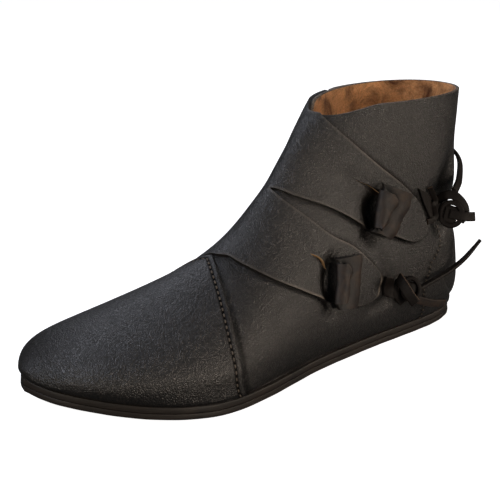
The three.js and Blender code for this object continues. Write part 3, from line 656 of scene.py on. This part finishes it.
# Waxed calf: aniline-dyed black, rubbed with wax, so it has a soft satin sheen that shows the
# grain. The pebbles are 1 to 2 mm, a little coarser than real ones, to show in the render.
waxed_calf, where = new_finish("waxed black calf, grain side")
wander = add_node(waxed_calf, "ShaderNodeTexNoise", {"Vector": where, "Scale": 160.0, "Detail": 2.0})
drift = add_node(waxed_calf, "ShaderNodeVectorMath", {
    0: wander.outputs["Color"], 1: (0.0022, 0.0022, 0.0022)}, operation="MULTIPLY")
warped = add_node(waxed_calf, "ShaderNodeVectorMath", {
    0: where, 1: drift.outputs[0]}, operation="ADD").outputs[0]
pebbles = add_node(waxed_calf, "ShaderNodeTexVoronoi", {
    "Vector": warped, "Scale": 820.0}, feature="DISTANCE_TO_EDGE").outputs["Distance"]
pebble_rise = spread(waxed_calf, pebbles, 0.0, 0.30, interpolation_type="SMOOTHSTEP")
wrinkles = noise(waxed_calf, warped, 560.0, 3.0, 0.6)
grain = add_node(waxed_calf, "ShaderNodeMath", {
    0: pebble_rise, 1: 0.30, 2: wrinkles}, operation="MULTIPLY_ADD").outputs[0]
dyed = blend(waxed_calf, noise(waxed_calf, where, 28.0, 3.0), 0x1A1715, 0x2C2724)
# Pebble tops take the dyed tone and the hollows go near black: the grain's own tone, and partly a
# painted highlight on the pebbles
grain_and_highlight = blend(waxed_calf, spread(waxed_calf, grain, 0.57, 0.84), 0x020202, dyed)
# Along the tongues' edges the colour is painted lighter: partly dye rubbed off, partly a painted
# highlight
worn_and_highlit = blend(waxed_calf, point_mark(waxed_calf, "rubbed"), grain_and_highlight, 0x857A6E)
# Painted shade: by the shade mark the colour goes to near black and the gloss fades, in the creases,
# under edges and along the seams
painted_shade_share = point_mark(waxed_calf, "painted_shade")
gloss = spread(waxed_calf, painted_shade_share, 0.0, 1.0, 0.75, 0.05)
polish = spread(waxed_calf, grain, 0.5, 0.85, 0.48, 0.34)
set_surface(waxed_calf, blend(waxed_calf, painted_shade_share, worn_and_highlit, 0x020202), polish,
            relief=(grain, 0.6, 0.0008), extra={"Specular IOR Level": gloss})

# Flesh side: undyed split fibres, orange-tan, with dark rubbed patches and a short nap
flesh_side, where = new_finish("undyed calf, flesh side")
nap = noise(flesh_side, where, 1100.0, 4.0, 0.7)
rub_tone = spread(flesh_side, noise(flesh_side, where, 70.0, 5.0, 0.65, 0.6), 0.40, 0.68)
tan = blend(flesh_side, spread(flesh_side, nap, 0.3, 0.7), 0xCB8850, 0xFFC68C)
set_surface(flesh_side, blend(flesh_side, rub_tone, tan, 0x5A3519), 0.95,
            relief=(nap, 0.7, 0.0006), extra={"Sheen Weight": 0.2})

# Rubbed edge: the corner of a cut edge, painted lighter: partly where the dye is rubbed off the fibres,
# partly a painted highlight along the edge
rubbed_and_highlit_edge, where = new_finish("rubbed corner of the cut edge")
fibre_tone = spread(rubbed_and_highlit_edge, noise(rubbed_and_highlit_edge, where, 900.0, 3.0), 0.40, 0.65)
set_surface(rubbed_and_highlit_edge, blend(rubbed_and_highlit_edge, fibre_tone, 0x2E2823, 0x8A7A69), 0.6)

# Cut edge of the black leather: dyed black, and painted darker still as the shade along the edges'
# walls, matt and fibrous
shaded_cut_edge, where = new_finish("dyed cut edge of the calf")
fibres = noise(shaded_cut_edge, where, 1500.0, 3.0)
colour = blend(shaded_cut_edge, spread(shaded_cut_edge, fibres, 0.35, 0.7), 0x090807, 0x221C18)
set_surface(shaded_cut_edge, colour, 0.7, relief=(fibres, 0.5, 0.0003))

# Its rims take the rubbed edge finish, painted lighter partly as a highlight, and its shade mark darkens
# it as painted shade
upper = leather_piece("upper_shell", points, faces, [waxed_calf, flesh_side, rubbed_and_highlit_edge], finish_index,
                      weld=0.00002, sharp=50, marks={"painted_shade": painted_shade})
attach(upper, "root")
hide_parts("upper")

# Front wrap: one piece of the same calf sewn to the inner quarter and the vamp, cut into two
# tongues that lie over the outer quarter. Each tongue has a slit with raw edges for its toggle.
UPPER_SLIT = ((14.10, 0.335), (14.30, 0.450), 2.6)
LOWER_SLIT = ((9.36, 0.373), (9.68, 0.452), 2.6)


def wrap_point(station, girth):
    """Point of the wrap's face, sunk a little where it goes under the vamp's edge."""
    top = wrap_bed(station, girth, MEDIAL_SEAM + MEDIAL_STEP) - WRAP_DEPTH
    tucked = 0.7 * (1 - smoothstep(station - seam_station(np.abs(girth)), 0.0, 0.45))
    return under_surface(station, girth, top + tucked)


def face_away(piece, centre):
    """Normals of an open sheet turned so that, on the whole, they point away from the centre."""
    count = len(piece.data.polygons)
    normals = np.empty(count * 3)
    middles = np.empty(count * 3)
    piece.data.polygons.foreach_get("normal", normals)
    piece.data.polygons.foreach_get("center", middles)
    if (normals.reshape(-1, 3) * (middles.reshape(-1, 3) - centre)).sum() < 0:
        piece.data.flip_normals()


def thickened(piece, thickness, edge_round, rim_material=0, corner_material=-1, blades=()):
    """The sheet given its thickness inward, cut by the blades, and its edges rounded."""
    wall = piece.modifiers.new("thickness", "SOLIDIFY")
    wall.thickness = thickness / 1000
    wall.offset = -1
    wall.use_even_offset = False
    wall.material_offset_rim = rim_material
    for blade in blades:
        cut = piece.modifiers.new("cut", "BOOLEAN")
        cut.object = blade
        cut.operation = "DIFFERENCE"
        cut.solver = "EXACT"
        cut.material_mode = "TRANSFER"
    if edge_round:
        rounding = piece.modifiers.new("rounded edge", "BEVEL")
        rounding.width = edge_round / 1000
        rounding.segments = 2
        rounding.material = corner_material
        rounding.limit_method = "ANGLE"
        rounding.angle_limit = np.radians(50)
        rounding.use_clamp_overlap = True
    graph = bpy.context.evaluated_depsgraph_get()
    finished = bpy.data.meshes.new_from_object(piece.evaluated_get(graph))
    piece.modifiers.clear()
    piece.data = finished
    finished.set_sharp_from_angle(angle=np.radians(40))
    for blade in blades:
        bpy.data.objects.remove(blade)
    return piece


def slit_blade(start, end, gape, material):
    """Lens-shaped blade through the leather between two places on the last: as wide as the
    gape in its middle and pointed at both ends."""
    start, end = np.array(start), np.array(end)
    share = np.linspace(0, 1, 13)
    at = start + (end - start) * share[:, None]
    line = last_point(at[:, 0], at[:, 1])
    out = last_normal(at[:, 0], at[:, 1])
    along = np.gradient(line, axis=0)
    across = np.cross(out, along)
    across /= np.linalg.norm(across, axis=1, keepdims=True)
    half = gape / 2000 * np.sin(np.pi * share)[:, None] + 0.00002
    reach = 0.007
    ring = np.stack([line + across * half + out * reach, line + across * half - out * reach,
                     line - across * half - out * reach, line - across * half + out * reach], axis=1)
    sides = grid_faces(len(share), 4, closed_columns=True).reshape(-1, 4)
    end = np.array([[0, 1, 2, 3]])
    faces = np.concatenate([sides, end, end + 4 * (len(share) - 1)])
    return leather_piece("slit_blade", ring, faces, [material], weld=1e-7)


# Raw leather inside a fresh cut: undyed tan fibres that catch the light
raw_cut, where = new_finish("raw leather in a slit")
colour = blend(raw_cut, noise(raw_cut, where, 1400.0, 3.0), 0x9A7048, 0xF2D6AA)
set_surface(raw_cut, colour, 0.85)

# The tongues' edges are painted lighter, most of all towards their round ends: partly dye rubbed off,
# partly a painted highlight along the edge
SHAFT_MIDDLE = (0.04, 0, 0.06)
tongue_parts = []
wear_and_edge_light = []
for table, across, top_broken, low_broken in (
        (UPPER_TONGUE, 66, False, True), (LOWER_TONGUE, 46, True, False)):
    stations, tongue_girths = tongue_grid(table, 12, across, top_broken, low_broken)
    tongue_parts.append((wrap_point(stations, tongue_girths), 0))
    towards_end = smoothstep(np.linspace(0, 1, stations.shape[1]), 0.5, 0.85)
    wear_and_edge_light.append(np.broadcast_to(0.15 + 0.85 * towards_end, stations.shape).ravel())
points, faces, finish_index = joined_grids(tongue_parts)
# The wrap's creases are darkened as painted shade, as the upper's are
wrap = leather_piece("wrap_with_tongues", points, faces,
                     [waxed_calf, flesh_side, shaded_cut_edge, rubbed_and_highlit_edge], weld=0.00002,
                     marks={"painted_shade": crease_shade(points),
                            "rubbed": near_line(points, tongue_outline(), 1.2) * np.concatenate(wear_and_edge_light)})
face_away(wrap, SHAFT_MIDDLE)
blades = [slit_blade(*slit, raw_cut) for slit in (UPPER_SLIT, LOWER_SLIT)]
thickened(wrap, WRAP_THICK, 0.6, rim_material=2, corner_material=3, blades=blades)
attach(wrap, "root")
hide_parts("front_wrap")

# Rolled toggles: a strip of thick trim leather folded back over itself, lying on the tongue
# beside its slit. The fold is on the toe side; the upper layer's free edge is cut in a slack S,
# and past it the longer under layer shows, with its straight edge towards the heel.
TRIM_THICK = 2.0

# Ends of the two layers along the toggle, and every 5 mm along it the places of the fold, the
# free edge and the straight edge across it
TOGGLE_PLACES = np.arange(-15, 16, 5)
UPPER_TOGGLE = {
    "seat": (13.9, 0.470), "lean": 0.45, "under_ends": (-15.2, 13.2), "over_ends": (-12.0, 8.6),
    "fold": [-12.6, -13.2, -14.2, -15.2, -16.0, -16.6, -17.2],
    "free_edge": [-11.5, -7.6, -6.2, -5.6, -3.6, -9.5, -16.0],
    "straight_edge": [0.2, 3.6, 4.2, 4.8, 6.6, 6.0, 5.4]}
LOWER_TOGGLE = {
    "seat": (10.0, 0.510), "lean": 0.05, "under_ends": (-15.8, 12.6), "over_ends": (-11.4, 9.8),
    "fold": [-16.6, -15.6, -14.2, -12.8, -11.9, -11.0, -10.4],
    "free_edge": [-9.6, -7.6, -6.4, -5.8, -3.2, -5.6, -12.0],
    "straight_edge": [1.6, 2.8, 3.5, 4.2, 5.2, 6.6, 6.8]}

# Outer face of the folded strip from its straight edge under the fold and back to the free
# edge: shares of the fold's, free edge's and straight edge's places, a shift, and the height
FOLD_SECTION = np.array([
    (0.0, 0.0, 1.0, 0.0, 0.9), (0.0, 0.45, 0.55, 0.0, 2.3), (0.0, 1.0, 0.0, 0.8, 0.5),
    (0.0, 1.0, 0.0, -2.2, 0.1), (0.6, 0.4, 0.0, 0.0, 0.2), (1.0, 0.0, 0.0, 1.2, 0.8),
    (1.0, 0.0, 0.0, 0.0, 3.0), (1.0, 0.0, 0.0, 1.2, 5.6), (0.55, 0.45, 0.0, 0.0, 7.2),
    (0.0, 1.0, 0.0, -1.8, 7.0), (0.0, 1.0, 0.0, 0.0, 5.6)])

# Trim leather: brown-black, drier than the upper, with suede showing at its cut edges; by the shade mark
# its colour is painted near black as shade beside the toggle's free edge and into the fold
trim_leather, where = new_finish("dry brown-black trim leather")
grain = noise(trim_leather, where, 700.0, 5.0, 0.62)
rub_tone = spread(trim_leather, noise(trim_leather, where, 190.0, 3.0, distortion=0.5), 0.38, 0.70)
rubbed = blend(trim_leather, rub_tone, 0x1A1412, 0x36291F)
colour = blend(trim_leather, point_mark(trim_leather, "painted_shade"), rubbed, 0x020202)
set_surface(trim_leather, colour, 0.58, relief=(grain, 0.45, 0.0005))

trim_edge, where = new_finish("suede edge of the trim leather")
colour = blend(trim_edge, noise(trim_edge, where, 1300.0, 3.0), 0x2C221D, 0x6E5947)
set_surface(trim_edge, colour, 0.85)


def seat_frame(station, girth, lean):
    """Seat on the wrap and its directions: out along the leather's normal, along an axis square
    to it that leans by an angle from upright towards the heel, and across, towards the heel: the
    cross product of the two."""
    seat = last_point(station, girth)
    out = last_normal(station, girth)
    axis = np.array([np.sin(lean), 0, np.cos(lean)])
    axis = axis - out * (axis @ out)
    axis /= np.linalg.norm(axis)
    return seat, out, axis, np.cross(axis, out)


def bed_height(station, girth, lean):
    """Height of the uncreased wrap over the seat's plane: the quadratic in the distances across
    and along that fits the wrap's points within 25 mm best."""
    seat, out, axis, across = seat_frame(station, girth, lean)
    stations, seat_girths = np.meshgrid(
        np.linspace(station - 2.5, station + 2.5, 31), np.linspace(girth - 0.16, girth + 0.16, 31))
    rise = WRAP_DEPTH - wrap_bed(stations, seat_girths, MEDIAL_SEAM + MEDIAL_STEP)
    points = last_point(stations, seat_girths)
    points = points + last_normal(stations, seat_girths) * rise[..., None] / 1000
    away = (points - seat).reshape(-1, 3) * 1000
    away = away[np.linalg.norm(away, axis=1) < 25]
    x, t = away @ across, away @ axis
    terms = np.stack([np.ones_like(x), x, t, x * x, x * t, t * t], axis=1)
    a, b, c, d, e, f = np.linalg.lstsq(terms, away @ out, rcond=None)[0]
    return lambda x, t: a + b * x + c * t + d * x * x + e * x * t + f * t * t


def rolled_toggle(name, toggle):
    """Sheet through the fold's section at each place along the toggle: smooth curves carry the
    places of its fold and edges, and it rests on the wrap's own curve."""
    seat, out, axis, across = seat_frame(*toggle["seat"], toggle["lean"])
    bed = bed_height(*toggle["seat"], toggle["lean"])
    at = np.linspace(0, len(FOLD_SECTION) - 1, 81)
    fold_share, free_share, straight_share, shift, height = (
        column[:, None] for column in smooth_columns(FOLD_SECTION, at))
    over = smoothstep(at, 2.2, 4.6)[:, None]
    ends = [under + (upper - under) * over
            for under, upper in zip(toggle["under_ends"], toggle["over_ends"])]
    t = ends[0] + (ends[1] - ends[0]) * np.linspace(0, 1, 49)[None, :]
    step = (t - TOGGLE_PLACES[0]) / (TOGGLE_PLACES[1] - TOGGLE_PLACES[0])
    fold, free_edge, straight_edge = (
        natural_spline(toggle[line])(step) for line in ("fold", "free_edge", "straight_edge"))
    x = fold_share * fold + free_share * free_edge + straight_share * straight_edge + shift
    slack = 0.25 * np.sin(0.5 * t + 0.4 * x) * np.clip(height / 6, 0, 1)
    y = bed(x, t) + height + slack + 0.1
    points = seat + (x[..., None] * across + y[..., None] * out + t[..., None] * axis) / 1000
    # Painted shade: the under layer beside the free edge and the inside of the fold are marked to be
    # painted near black
    under_fold_shade = smoothstep(at, 1.1, 1.9) * (1 - smoothstep(at, 5.4, 6.4))
    sheet = leather_piece(name, points, grid_faces(*points.shape[:2]),
                          [trim_leather, shaded_cut_edge, trim_edge],
                          marks={"painted_shade": np.broadcast_to(under_fold_shade[:, None], x.shape)})
    face_away(sheet, seat + out * 0.0033 + across * np.mean(toggle["fold"]) / 2000)
    return thickened(sheet, TRIM_THICK, 0.3, rim_material=1, corner_material=2)


for name, toggle, node in (("upper_roll", UPPER_TOGGLE, "upper_toggle"),
                           ("lower_roll", LOWER_TOGGLE, "lower_toggle")):
    roll = rolled_toggle(name, toggle)
    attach(roll, "root")
    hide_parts(node)

# Thong leather: the same hide, dyed through and darkened by wax and handling
thong_leather, where = new_finish("dark waxed thong leather")
grain = noise(thong_leather, where, 900.0, 5.0, 0.6)
set_surface(thong_leather, blend(thong_leather, grain, 0x070505, 0x1A130F), 0.55,
            relief=(grain, 0.4, 0.0004), extra={"Specular IOR Level": 0.22})

# Straps: flat bands of trim leather from under each tongue's end into a slot in the quarter
UPPER_STRAP = np.array([
    (15.40, 0.576, 14.80, 0.616), (15.41, 0.603, 14.82, 0.624), (15.41, 0.632, 14.84, 0.633)])
LOWER_STRAP = np.array([
    (10.96, 0.578, 10.64, 0.634), (11.03, 0.586, 10.73, 0.652), (11.10, 0.596, 10.82, 0.668)])
STRAP_THICK = 1.8

for name, table, node in (("upper_band", UPPER_STRAP, "upper_strap"),
                          ("lower_band", LOWER_STRAP, "lower_strap")):
    at = np.linspace(0, len(table) - 1, 21)
    share = np.linspace(0, 1, 17)[:, None]
    top_station, top_girth, low_station, low_girth = smooth_columns(table, at)
    stations = top_station + (low_station - top_station) * share
    strap_girths = top_girth + (low_girth - top_girth) * share
    depth = wrap_bed(stations, strap_girths, MEDIAL_SEAM) - LAYER_GAP - STRAP_THICK
    band = leather_piece(name, under_surface(stations, strap_girths, depth),
                         grid_faces(17, 21), [thong_leather, shaded_cut_edge])
    face_away(band, SHAFT_MIDDLE)
    thickened(band, STRAP_THICK, 0.3, rim_material=1)
    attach(band, "root")
    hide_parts(node)

# Thongs: strips cut from the trim leather, 4 to 6 mm wide, pulled through the quarter's slots
# and tied behind them in overhand knots: each has a ring that faces outward, a turn over it
# and flat ends. The upper thong bows out round the back of the shaft; the lower one ends free.
THONG_THICK = 2.0
CORD_WIDE = 4.6
FACING_OUT = (-0.568, -0.764, 0.305)
UPPER_LOOP = [
    (143.5, 2.0, 104.5), (145.2, -5.0, 101.5), (144.0, -13.0, 96.0), (137.0, -20.5, 89.5),
    (127.5, -28.5, 87.2), (118.4, -34.2, 84.6)]
UPPER_RING = [
    (118.5, -41.1, 72.0), (118.6, -39.6, 75.2), (117.5, -37.3, 77.5), (115.4, -34.7, 78.2),
    (113.1, -32.6, 77.1), (111.1, -31.5, 74.7), (109.9, -31.7, 71.4), (109.8, -33.2, 68.2),
    (111.0, -35.5, 65.9), (113.0, -38.1, 65.2), (115.3, -40.2, 66.3), (117.3, -41.3, 68.8)]
UPPER_TURN = [
    (111.0, -26.5, 77.5), (113.4, -30.0, 81.0), (116.6, -34.2, 82.6), (119.4, -38.0, 79.6),
    (121.0, -40.3, 75.4), (121.0, -40.6, 71.0), (118.6, -39.6, 67.6)]
UPPER_END = [(112.2, -37.6, 72.4), (115.6, -41.4, 71.6), (119.5, -44.2, 71.0), (124.1, -45.6, 70.6)]
UPPER_PULL = [(104.5, -27.0, 74.0), (109.0, -30.5, 73.6), (113.0, -34.0, 72.5), (116.5, -37.5, 71.0)]
UPPER_CORE = [(111.5, -33.6, 72.1), (114.0, -36.0, 71.2), (116.8, -38.6, 69.9)]
LOWER_CORE = [(75.5, -39.5, 34.5), (79.0, -40.0, 33.5), (82.3, -41.5, 33.0)]
LOWER_TAIL = [
    (82.3, -42.8, 33.0), (104.0, -39.5, 35.5), (119.0, -36.0, 37.0), (129.0, -35.5, 41.0),
    (135.5, -36.5, 46.5), (139.5, -38.0, 51.5)]
LOWER_RING = [
    (83.2, -43.6, 33.5), (83.2, -42.4, 36.5), (82.2, -40.8, 38.7), (80.4, -39.1, 39.5),
    (78.2, -37.8, 38.7), (76.4, -37.3, 36.5), (75.3, -37.7, 33.5), (75.2, -38.9, 30.4),
    (76.2, -40.5, 28.2), (78.0, -42.2, 27.4), (80.2, -43.5, 28.2), (82.0, -44.0, 30.4)]
LOWER_FLAP = [(73.3, -36.0, 40.6), (72.4, -40.2, 38.6), (72.6, -44.4, 34.8), (73.8, -47.3, 31.0),
              (75.2, -49.3, 28.2)]
LOWER_COLLAR = [(75.3, -38.2, 25.4), (71.9, -37.5, 29.6), (71.0, -36.2, 33.6), (73.3, -34.9, 38.0)]
LOWER_STUB = [(82.0, -41.9, 27.2), (98.0, -39.6, 20.5), (112.0, -36.5, 16.5)]


def thong(name, route, flats, wide, thick=THONG_THICK, closed=False, edge_finish=None, finish=None):
    """Strip along a smooth route: a rounded rectangle in section, whose flat side faces the
    given direction at each of the route's points. A closed route is a ring."""
    route = (np.array(route, float) + ORIGIN_SHIFT) / 1000
    flats = np.broadcast_to(np.array(flats, float), route.shape)
    count = len(route)
    first, last = (3, count + 3) if closed else (0, count - 1)
    if closed:
        route = np.concatenate([route[-3:], route, route[:4]])
        flats = np.concatenate([flats[-3:], flats, flats[:4]])
    steps = np.linspace(first, last, 10 * (last - first) + 1)
    line = np.stack(smooth_columns(route, steps), axis=1)
    flat = np.stack(smooth_columns(flats, steps), axis=1)
    along = np.gradient(line, axis=0)
    if closed:
        along[0] = along[-1] = line[1] - line[-2]
    along /= np.linalg.norm(along, axis=1, keepdims=True)
    flat -= along * (flat * along).sum(axis=1, keepdims=True)
    flat /= np.linalg.norm(flat, axis=1, keepdims=True)
    side = np.cross(along, flat)
    angle = np.linspace(0, 2 * np.pi, 21)[:-1]
    section_x = wide / 2000 * np.sign(np.cos(angle)) * np.abs(np.cos(angle)) ** 0.35
    section_y = thick / 2000 * np.sign(np.sin(angle)) * np.abs(np.sin(angle)) ** 0.45
    ring = line[:, None] + side[:, None] * section_x[:, None] + flat[:, None] * section_y[:, None]
    if closed:
        ring = ring[:-1]
    else:
        hub_first = np.broadcast_to(line[0] - along[0] * 0.0003, ring[:1].shape)
        hub_last = np.broadcast_to(line[-1] + along[-1] * 0.0003, ring[:1].shape)
        ring = np.concatenate([hub_first, ring, hub_last])
    faces = grid_faces(len(ring), 20, closed_rows=closed, closed_columns=True)
    edge = np.broadcast_to(np.abs(np.cos(angle + np.pi / 20)) > 0.9, faces.shape[:2]).copy()
    if not closed:
        edge[0] = edge[-1] = True
    finishes = [finish or thong_leather, edge_finish or thong_leather]
    strip = leather_piece(name, ring, faces, finishes, edge)
    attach(strip, "root")
    return strip


def ring_flats(route):
    """Directions out from a ring's middle at each of its points."""
    return np.array(route) - np.mean(route, axis=0)


def declare_cord(route):
    """Works out the smooth line of the strip on the route, and does nothing with it."""
    steps = np.linspace(0, len(route) - 1, 10 * (len(route) - 1) + 1)
    line = np.stack(smooth_columns((np.array(route) + ORIGIN_SHIFT) / 1000, steps), axis=1)


upper_loop = thong("upper_thong_bow", UPPER_LOOP, (0.5, -0.6, 0.6), CORD_WIDE)
upper_ring = thong("upper_knot_ring", UPPER_RING, ring_flats(UPPER_RING), 5.6, thick=3.0, closed=True)
upper_turn = thong("upper_knot_turn", UPPER_TURN, FACING_OUT, 5.4, thick=2.6)
upper_pull = thong("upper_knot_pull", UPPER_PULL, FACING_OUT, 9.0, thick=3.6)
upper_core = thong("upper_knot_core", UPPER_CORE, FACING_OUT, 11.0, thick=5.0)
lower_core = thong("lower_knot_core", LOWER_CORE, FACING_OUT, 8.0, thick=4.0)
upper_end = thong("upper_thong_stub", UPPER_END, FACING_OUT, 5.6, thick=2.4)
lower_tail = thong("lower_thong_tail_strip", LOWER_TAIL, (0.05, 0.28, 0.96), CORD_WIDE)
lower_ring = thong("lower_knot_ring", LOWER_RING, ring_flats(LOWER_RING), 5.0, thick=2.6, closed=True)
lower_flap = thong("lower_knot_flap", LOWER_FLAP, (-0.854, -0.440, 0.276), 6.0, thick=2.2,
                   edge_finish=trim_edge)
lower_collar = thong("lower_knot_collar", LOWER_COLLAR, FACING_OUT, 4.6, thick=2.4)
lower_stub = thong("lower_thong_flat_end", LOWER_STUB, (-0.1, -0.9, -0.1), 5.0, finish=trim_leather)
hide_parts("upper_thong_loop")
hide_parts("upper_thong_end")
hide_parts("lower_thong_tail")
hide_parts("lower_thong_stub")
for piece in (upper_ring, upper_turn, upper_pull, upper_core):
    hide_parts("upper_thong_knot")
for piece in (lower_ring, lower_flap, lower_collar, lower_core):
    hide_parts("lower_thong_knot")
declare_cord(UPPER_LOOP)
declare_cord(LOWER_TAIL)

# Slot's lip: the torn edge of the slot in the outer quarter where the upper strap goes in,
# curled up, dark with wax, with suede showing along its rim
SLOT_LIP = np.array([(15.62, 0.622), (15.48, 0.634), (15.36, 0.645), (15.22, 0.636), (15.10, 0.641),
                     (14.95, 0.643), (14.78, 0.628), (14.60, 0.608)])
lip_route = last_point(*SLOT_LIP.T) + last_normal(*SLOT_LIP.T) * 0.0008
lip_flats = last_normal(*SLOT_LIP.T) + (-0.9, 0, 0)
thong("upper_slot_lip", lip_route * 1000 - ORIGIN_SHIFT, lip_flats, 3.2, thick=0.9,
      edge_finish=trim_edge)

# Stitches: waxed linen thread, nearly black, in short running stitches that sink at their ends
# into the vamp's edge, along the heel stiffener's edge and down the inner side's seam
linen_thread, where = new_finish("waxed linen thread")
colour = blend(linen_thread, noise(linen_thread, where, 2500.0, 1.0), 0x332D28, 0x6E6458)
set_surface(linen_thread, colour, 0.6)
THREAD_WIDE = 0.9


def stitch_row(name, stations, row_girths, depth, pitch, stitch):
    """Stitches a pitch apart along a dense line on the last: each is a small bar whose middle
    rises over the leather and whose ends dip into it, half round in section."""
    line = under_surface(stations, row_girths, depth)
    run = np.concatenate([[0], np.cumsum(np.linalg.norm(np.diff(line, axis=0), axis=1))]) * 1000
    count = int(run[-1] / pitch)
    middles = (np.arange(count) + 0.5) * run[-1] / count
    share = np.linspace(-1, 1, 7)
    at = middles[:, None] + stitch / 2 * share
    spot = np.stack([np.interp(at, run, column) for column in line.T], axis=-1)
    normals = last_normal(stations, row_girths)
    out = np.stack([np.interp(at, run, column) for column in normals.T], axis=-1)
    along = spot[:, -1:] - spot[:, :1]
    along /= np.linalg.norm(along, axis=-1, keepdims=True)
    side = np.cross(along, out)
    side /= np.linalg.norm(side, axis=-1, keepdims=True)
    half = THREAD_WIDE / 2000 * np.sqrt(np.maximum(1 - share**4, 0.02))
    rise = (0.42 * (1 - share**2) - 0.12) / 1000
    angle = np.linspace(0, 2 * np.pi, 9)[:-1]
    ring = (spot + out * rise[:, None])[:, :, None] + half[:, None, None] * (
        side[:, :, None] * np.cos(angle)[:, None] + out[:, :, None] * 0.6 * np.sin(angle)[:, None])
    sides = grid_faces(len(share), 8, closed_columns=True).reshape(-1, 4)
    caps = np.array([[0, 7, 6, 5], [0, 5, 4, 3], [0, 3, 2, 1]])
    faces = np.concatenate([sides, caps, caps[:, ::-1] + 8 * (len(share) - 1)])
    faces = faces + (np.arange(count) * 8 * len(share))[:, None, None]
    row = leather_piece(name, ring, faces, [linen_thread], weld=1e-8, sharp=80)
    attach(row, "root")
    return row


row_girths = np.linspace(-0.93, 0.93, 400)
seam_row_stations = seam_station(np.abs(row_girths)) - SEAM_ROW
stitch_row("vamp_seam_stitches", seam_row_stations, row_girths, 0.2, 3.4, 2.3)
for name, side in (("outer_heel_stitches", 1), ("inner_heel_stitches", -1)):
    depth = wrap_bed(heel_stations, side * heel_girths, MEDIAL_SEAM)
    stitch_row(name, heel_stations, side * heel_girths, depth, 2.8, 1.7)
row_stations = np.linspace(7.6, 17.7, 400)
row_girths = np.full(400, -0.515)
depth = wrap_bed(row_stations, row_girths, MEDIAL_SEAM)
stitch_row("inner_side_stitches", row_stations, row_girths, depth, 3.4, 2.3)

# Floor, lights and camera: a pale floor under soft lamps, seen from the shoe's outer side
FLOOR_HALF = 30
floor_corners = [(x * FLOOR_HALF, y * FLOOR_HALF, 0) for x, y in ((-1, -1), (1, -1), (1, 1), (-1, 1))]
floor_mesh = bpy.data.meshes.new("floor")
floor_mesh.from_pydata(floor_corners, [], [(0, 1, 2, 3)])
floor = bpy.data.objects.new("floor", floor_mesh)
bpy.context.scene.collection.objects.link(floor)
floor.location.z = -0.0002
pale_floor = new_finish("pale studio floor")[0]
set_surface(pale_floor, srgb(0xF4F4F4), 0.9, extra={
    "Emission Color": (1.0, 1.0, 1.0, 1.0), "Emission Strength": 0.94})
floor_mesh.materials.append(pale_floor)
floor.visible_glossy = False
floor.visible_diffuse = False

world = bpy.data.worlds.new("studio")
world.use_nodes = True
sky = world.node_tree.nodes["Background"]
sky.inputs["Color"].default_value = srgb(0xF7F8FA)
sky.inputs["Strength"].default_value = 0.05
bpy.context.scene.world = world
bpy.context.scene.view_settings.view_transform = "Standard"


def soft_lamp(name, at, towards, size, power, colour):
    """Square area lamp at a place, turned towards another."""
    lamp = bpy.data.lights.new(name, "AREA")
    lamp.size = size
    lamp.energy = power
    lamp.color = srgb(colour)[:3]
    holder = bpy.data.objects.new(name, lamp)
    holder.location = at
    holder.rotation_euler = (Vector(towards) - Vector(at)).to_track_quat("-Z", "Y").to_euler()
    bpy.context.scene.collection.objects.link(holder)


SHOE_MIDDLE = (0, 0, 0.06)
soft_lamp("toe_top_soft_box", (-0.8, 0.3, 1.0), SHOE_MIDDLE, 0.5, 5.4, 0xEEF2FF)
soft_lamp("far_top_soft_box", (0.4, 0.9, 0.95), SHOE_MIDDLE, 0.7, 4.0, 0xEEF2FF)
soft_lamp("side_top_soft_box", (-0.1, -0.8, 1.15), SHOE_MIDDLE, 0.7, 0.5, 0xF6F7FF)
soft_lamp("low_toe_soft_box", (-1.35, -0.35, 0.30), SHOE_MIDDLE, 0.4, 4.6, 0xFFF3E4)
soft_lamp("low_side_soft_box", (0.05, -1.35, 0.16), SHOE_MIDDLE, 0.3, 6.5, 0xFFEEDC)
soft_lamp("heel_side_soft_box", (0.95, -0.70, 0.70), SHOE_MIDDLE, 0.3, 4.2, 0xFFEEDC)
soft_lamp("low_heel_soft_box", (1.20, -0.80, 0.04), (0.1, 0, 0.02), 0.2, 2.2, 0xFFEEDC)

camera = bpy.data.objects.new("camera", bpy.data.cameras.new("camera"))
camera.data.sensor_width = 36
camera.data.lens = 80.335
camera.data.clip_start = 0.01
camera.location = (-0.3610, -0.4688, 0.2525)
view_target = Vector((-0.00858, 0.00493, 0.0632))
camera.rotation_euler = (view_target - camera.location).to_track_quat("-Z", "Y").to_euler()
bpy.context.scene.collection.objects.link(camera)
bpy.context.scene.camera = camera
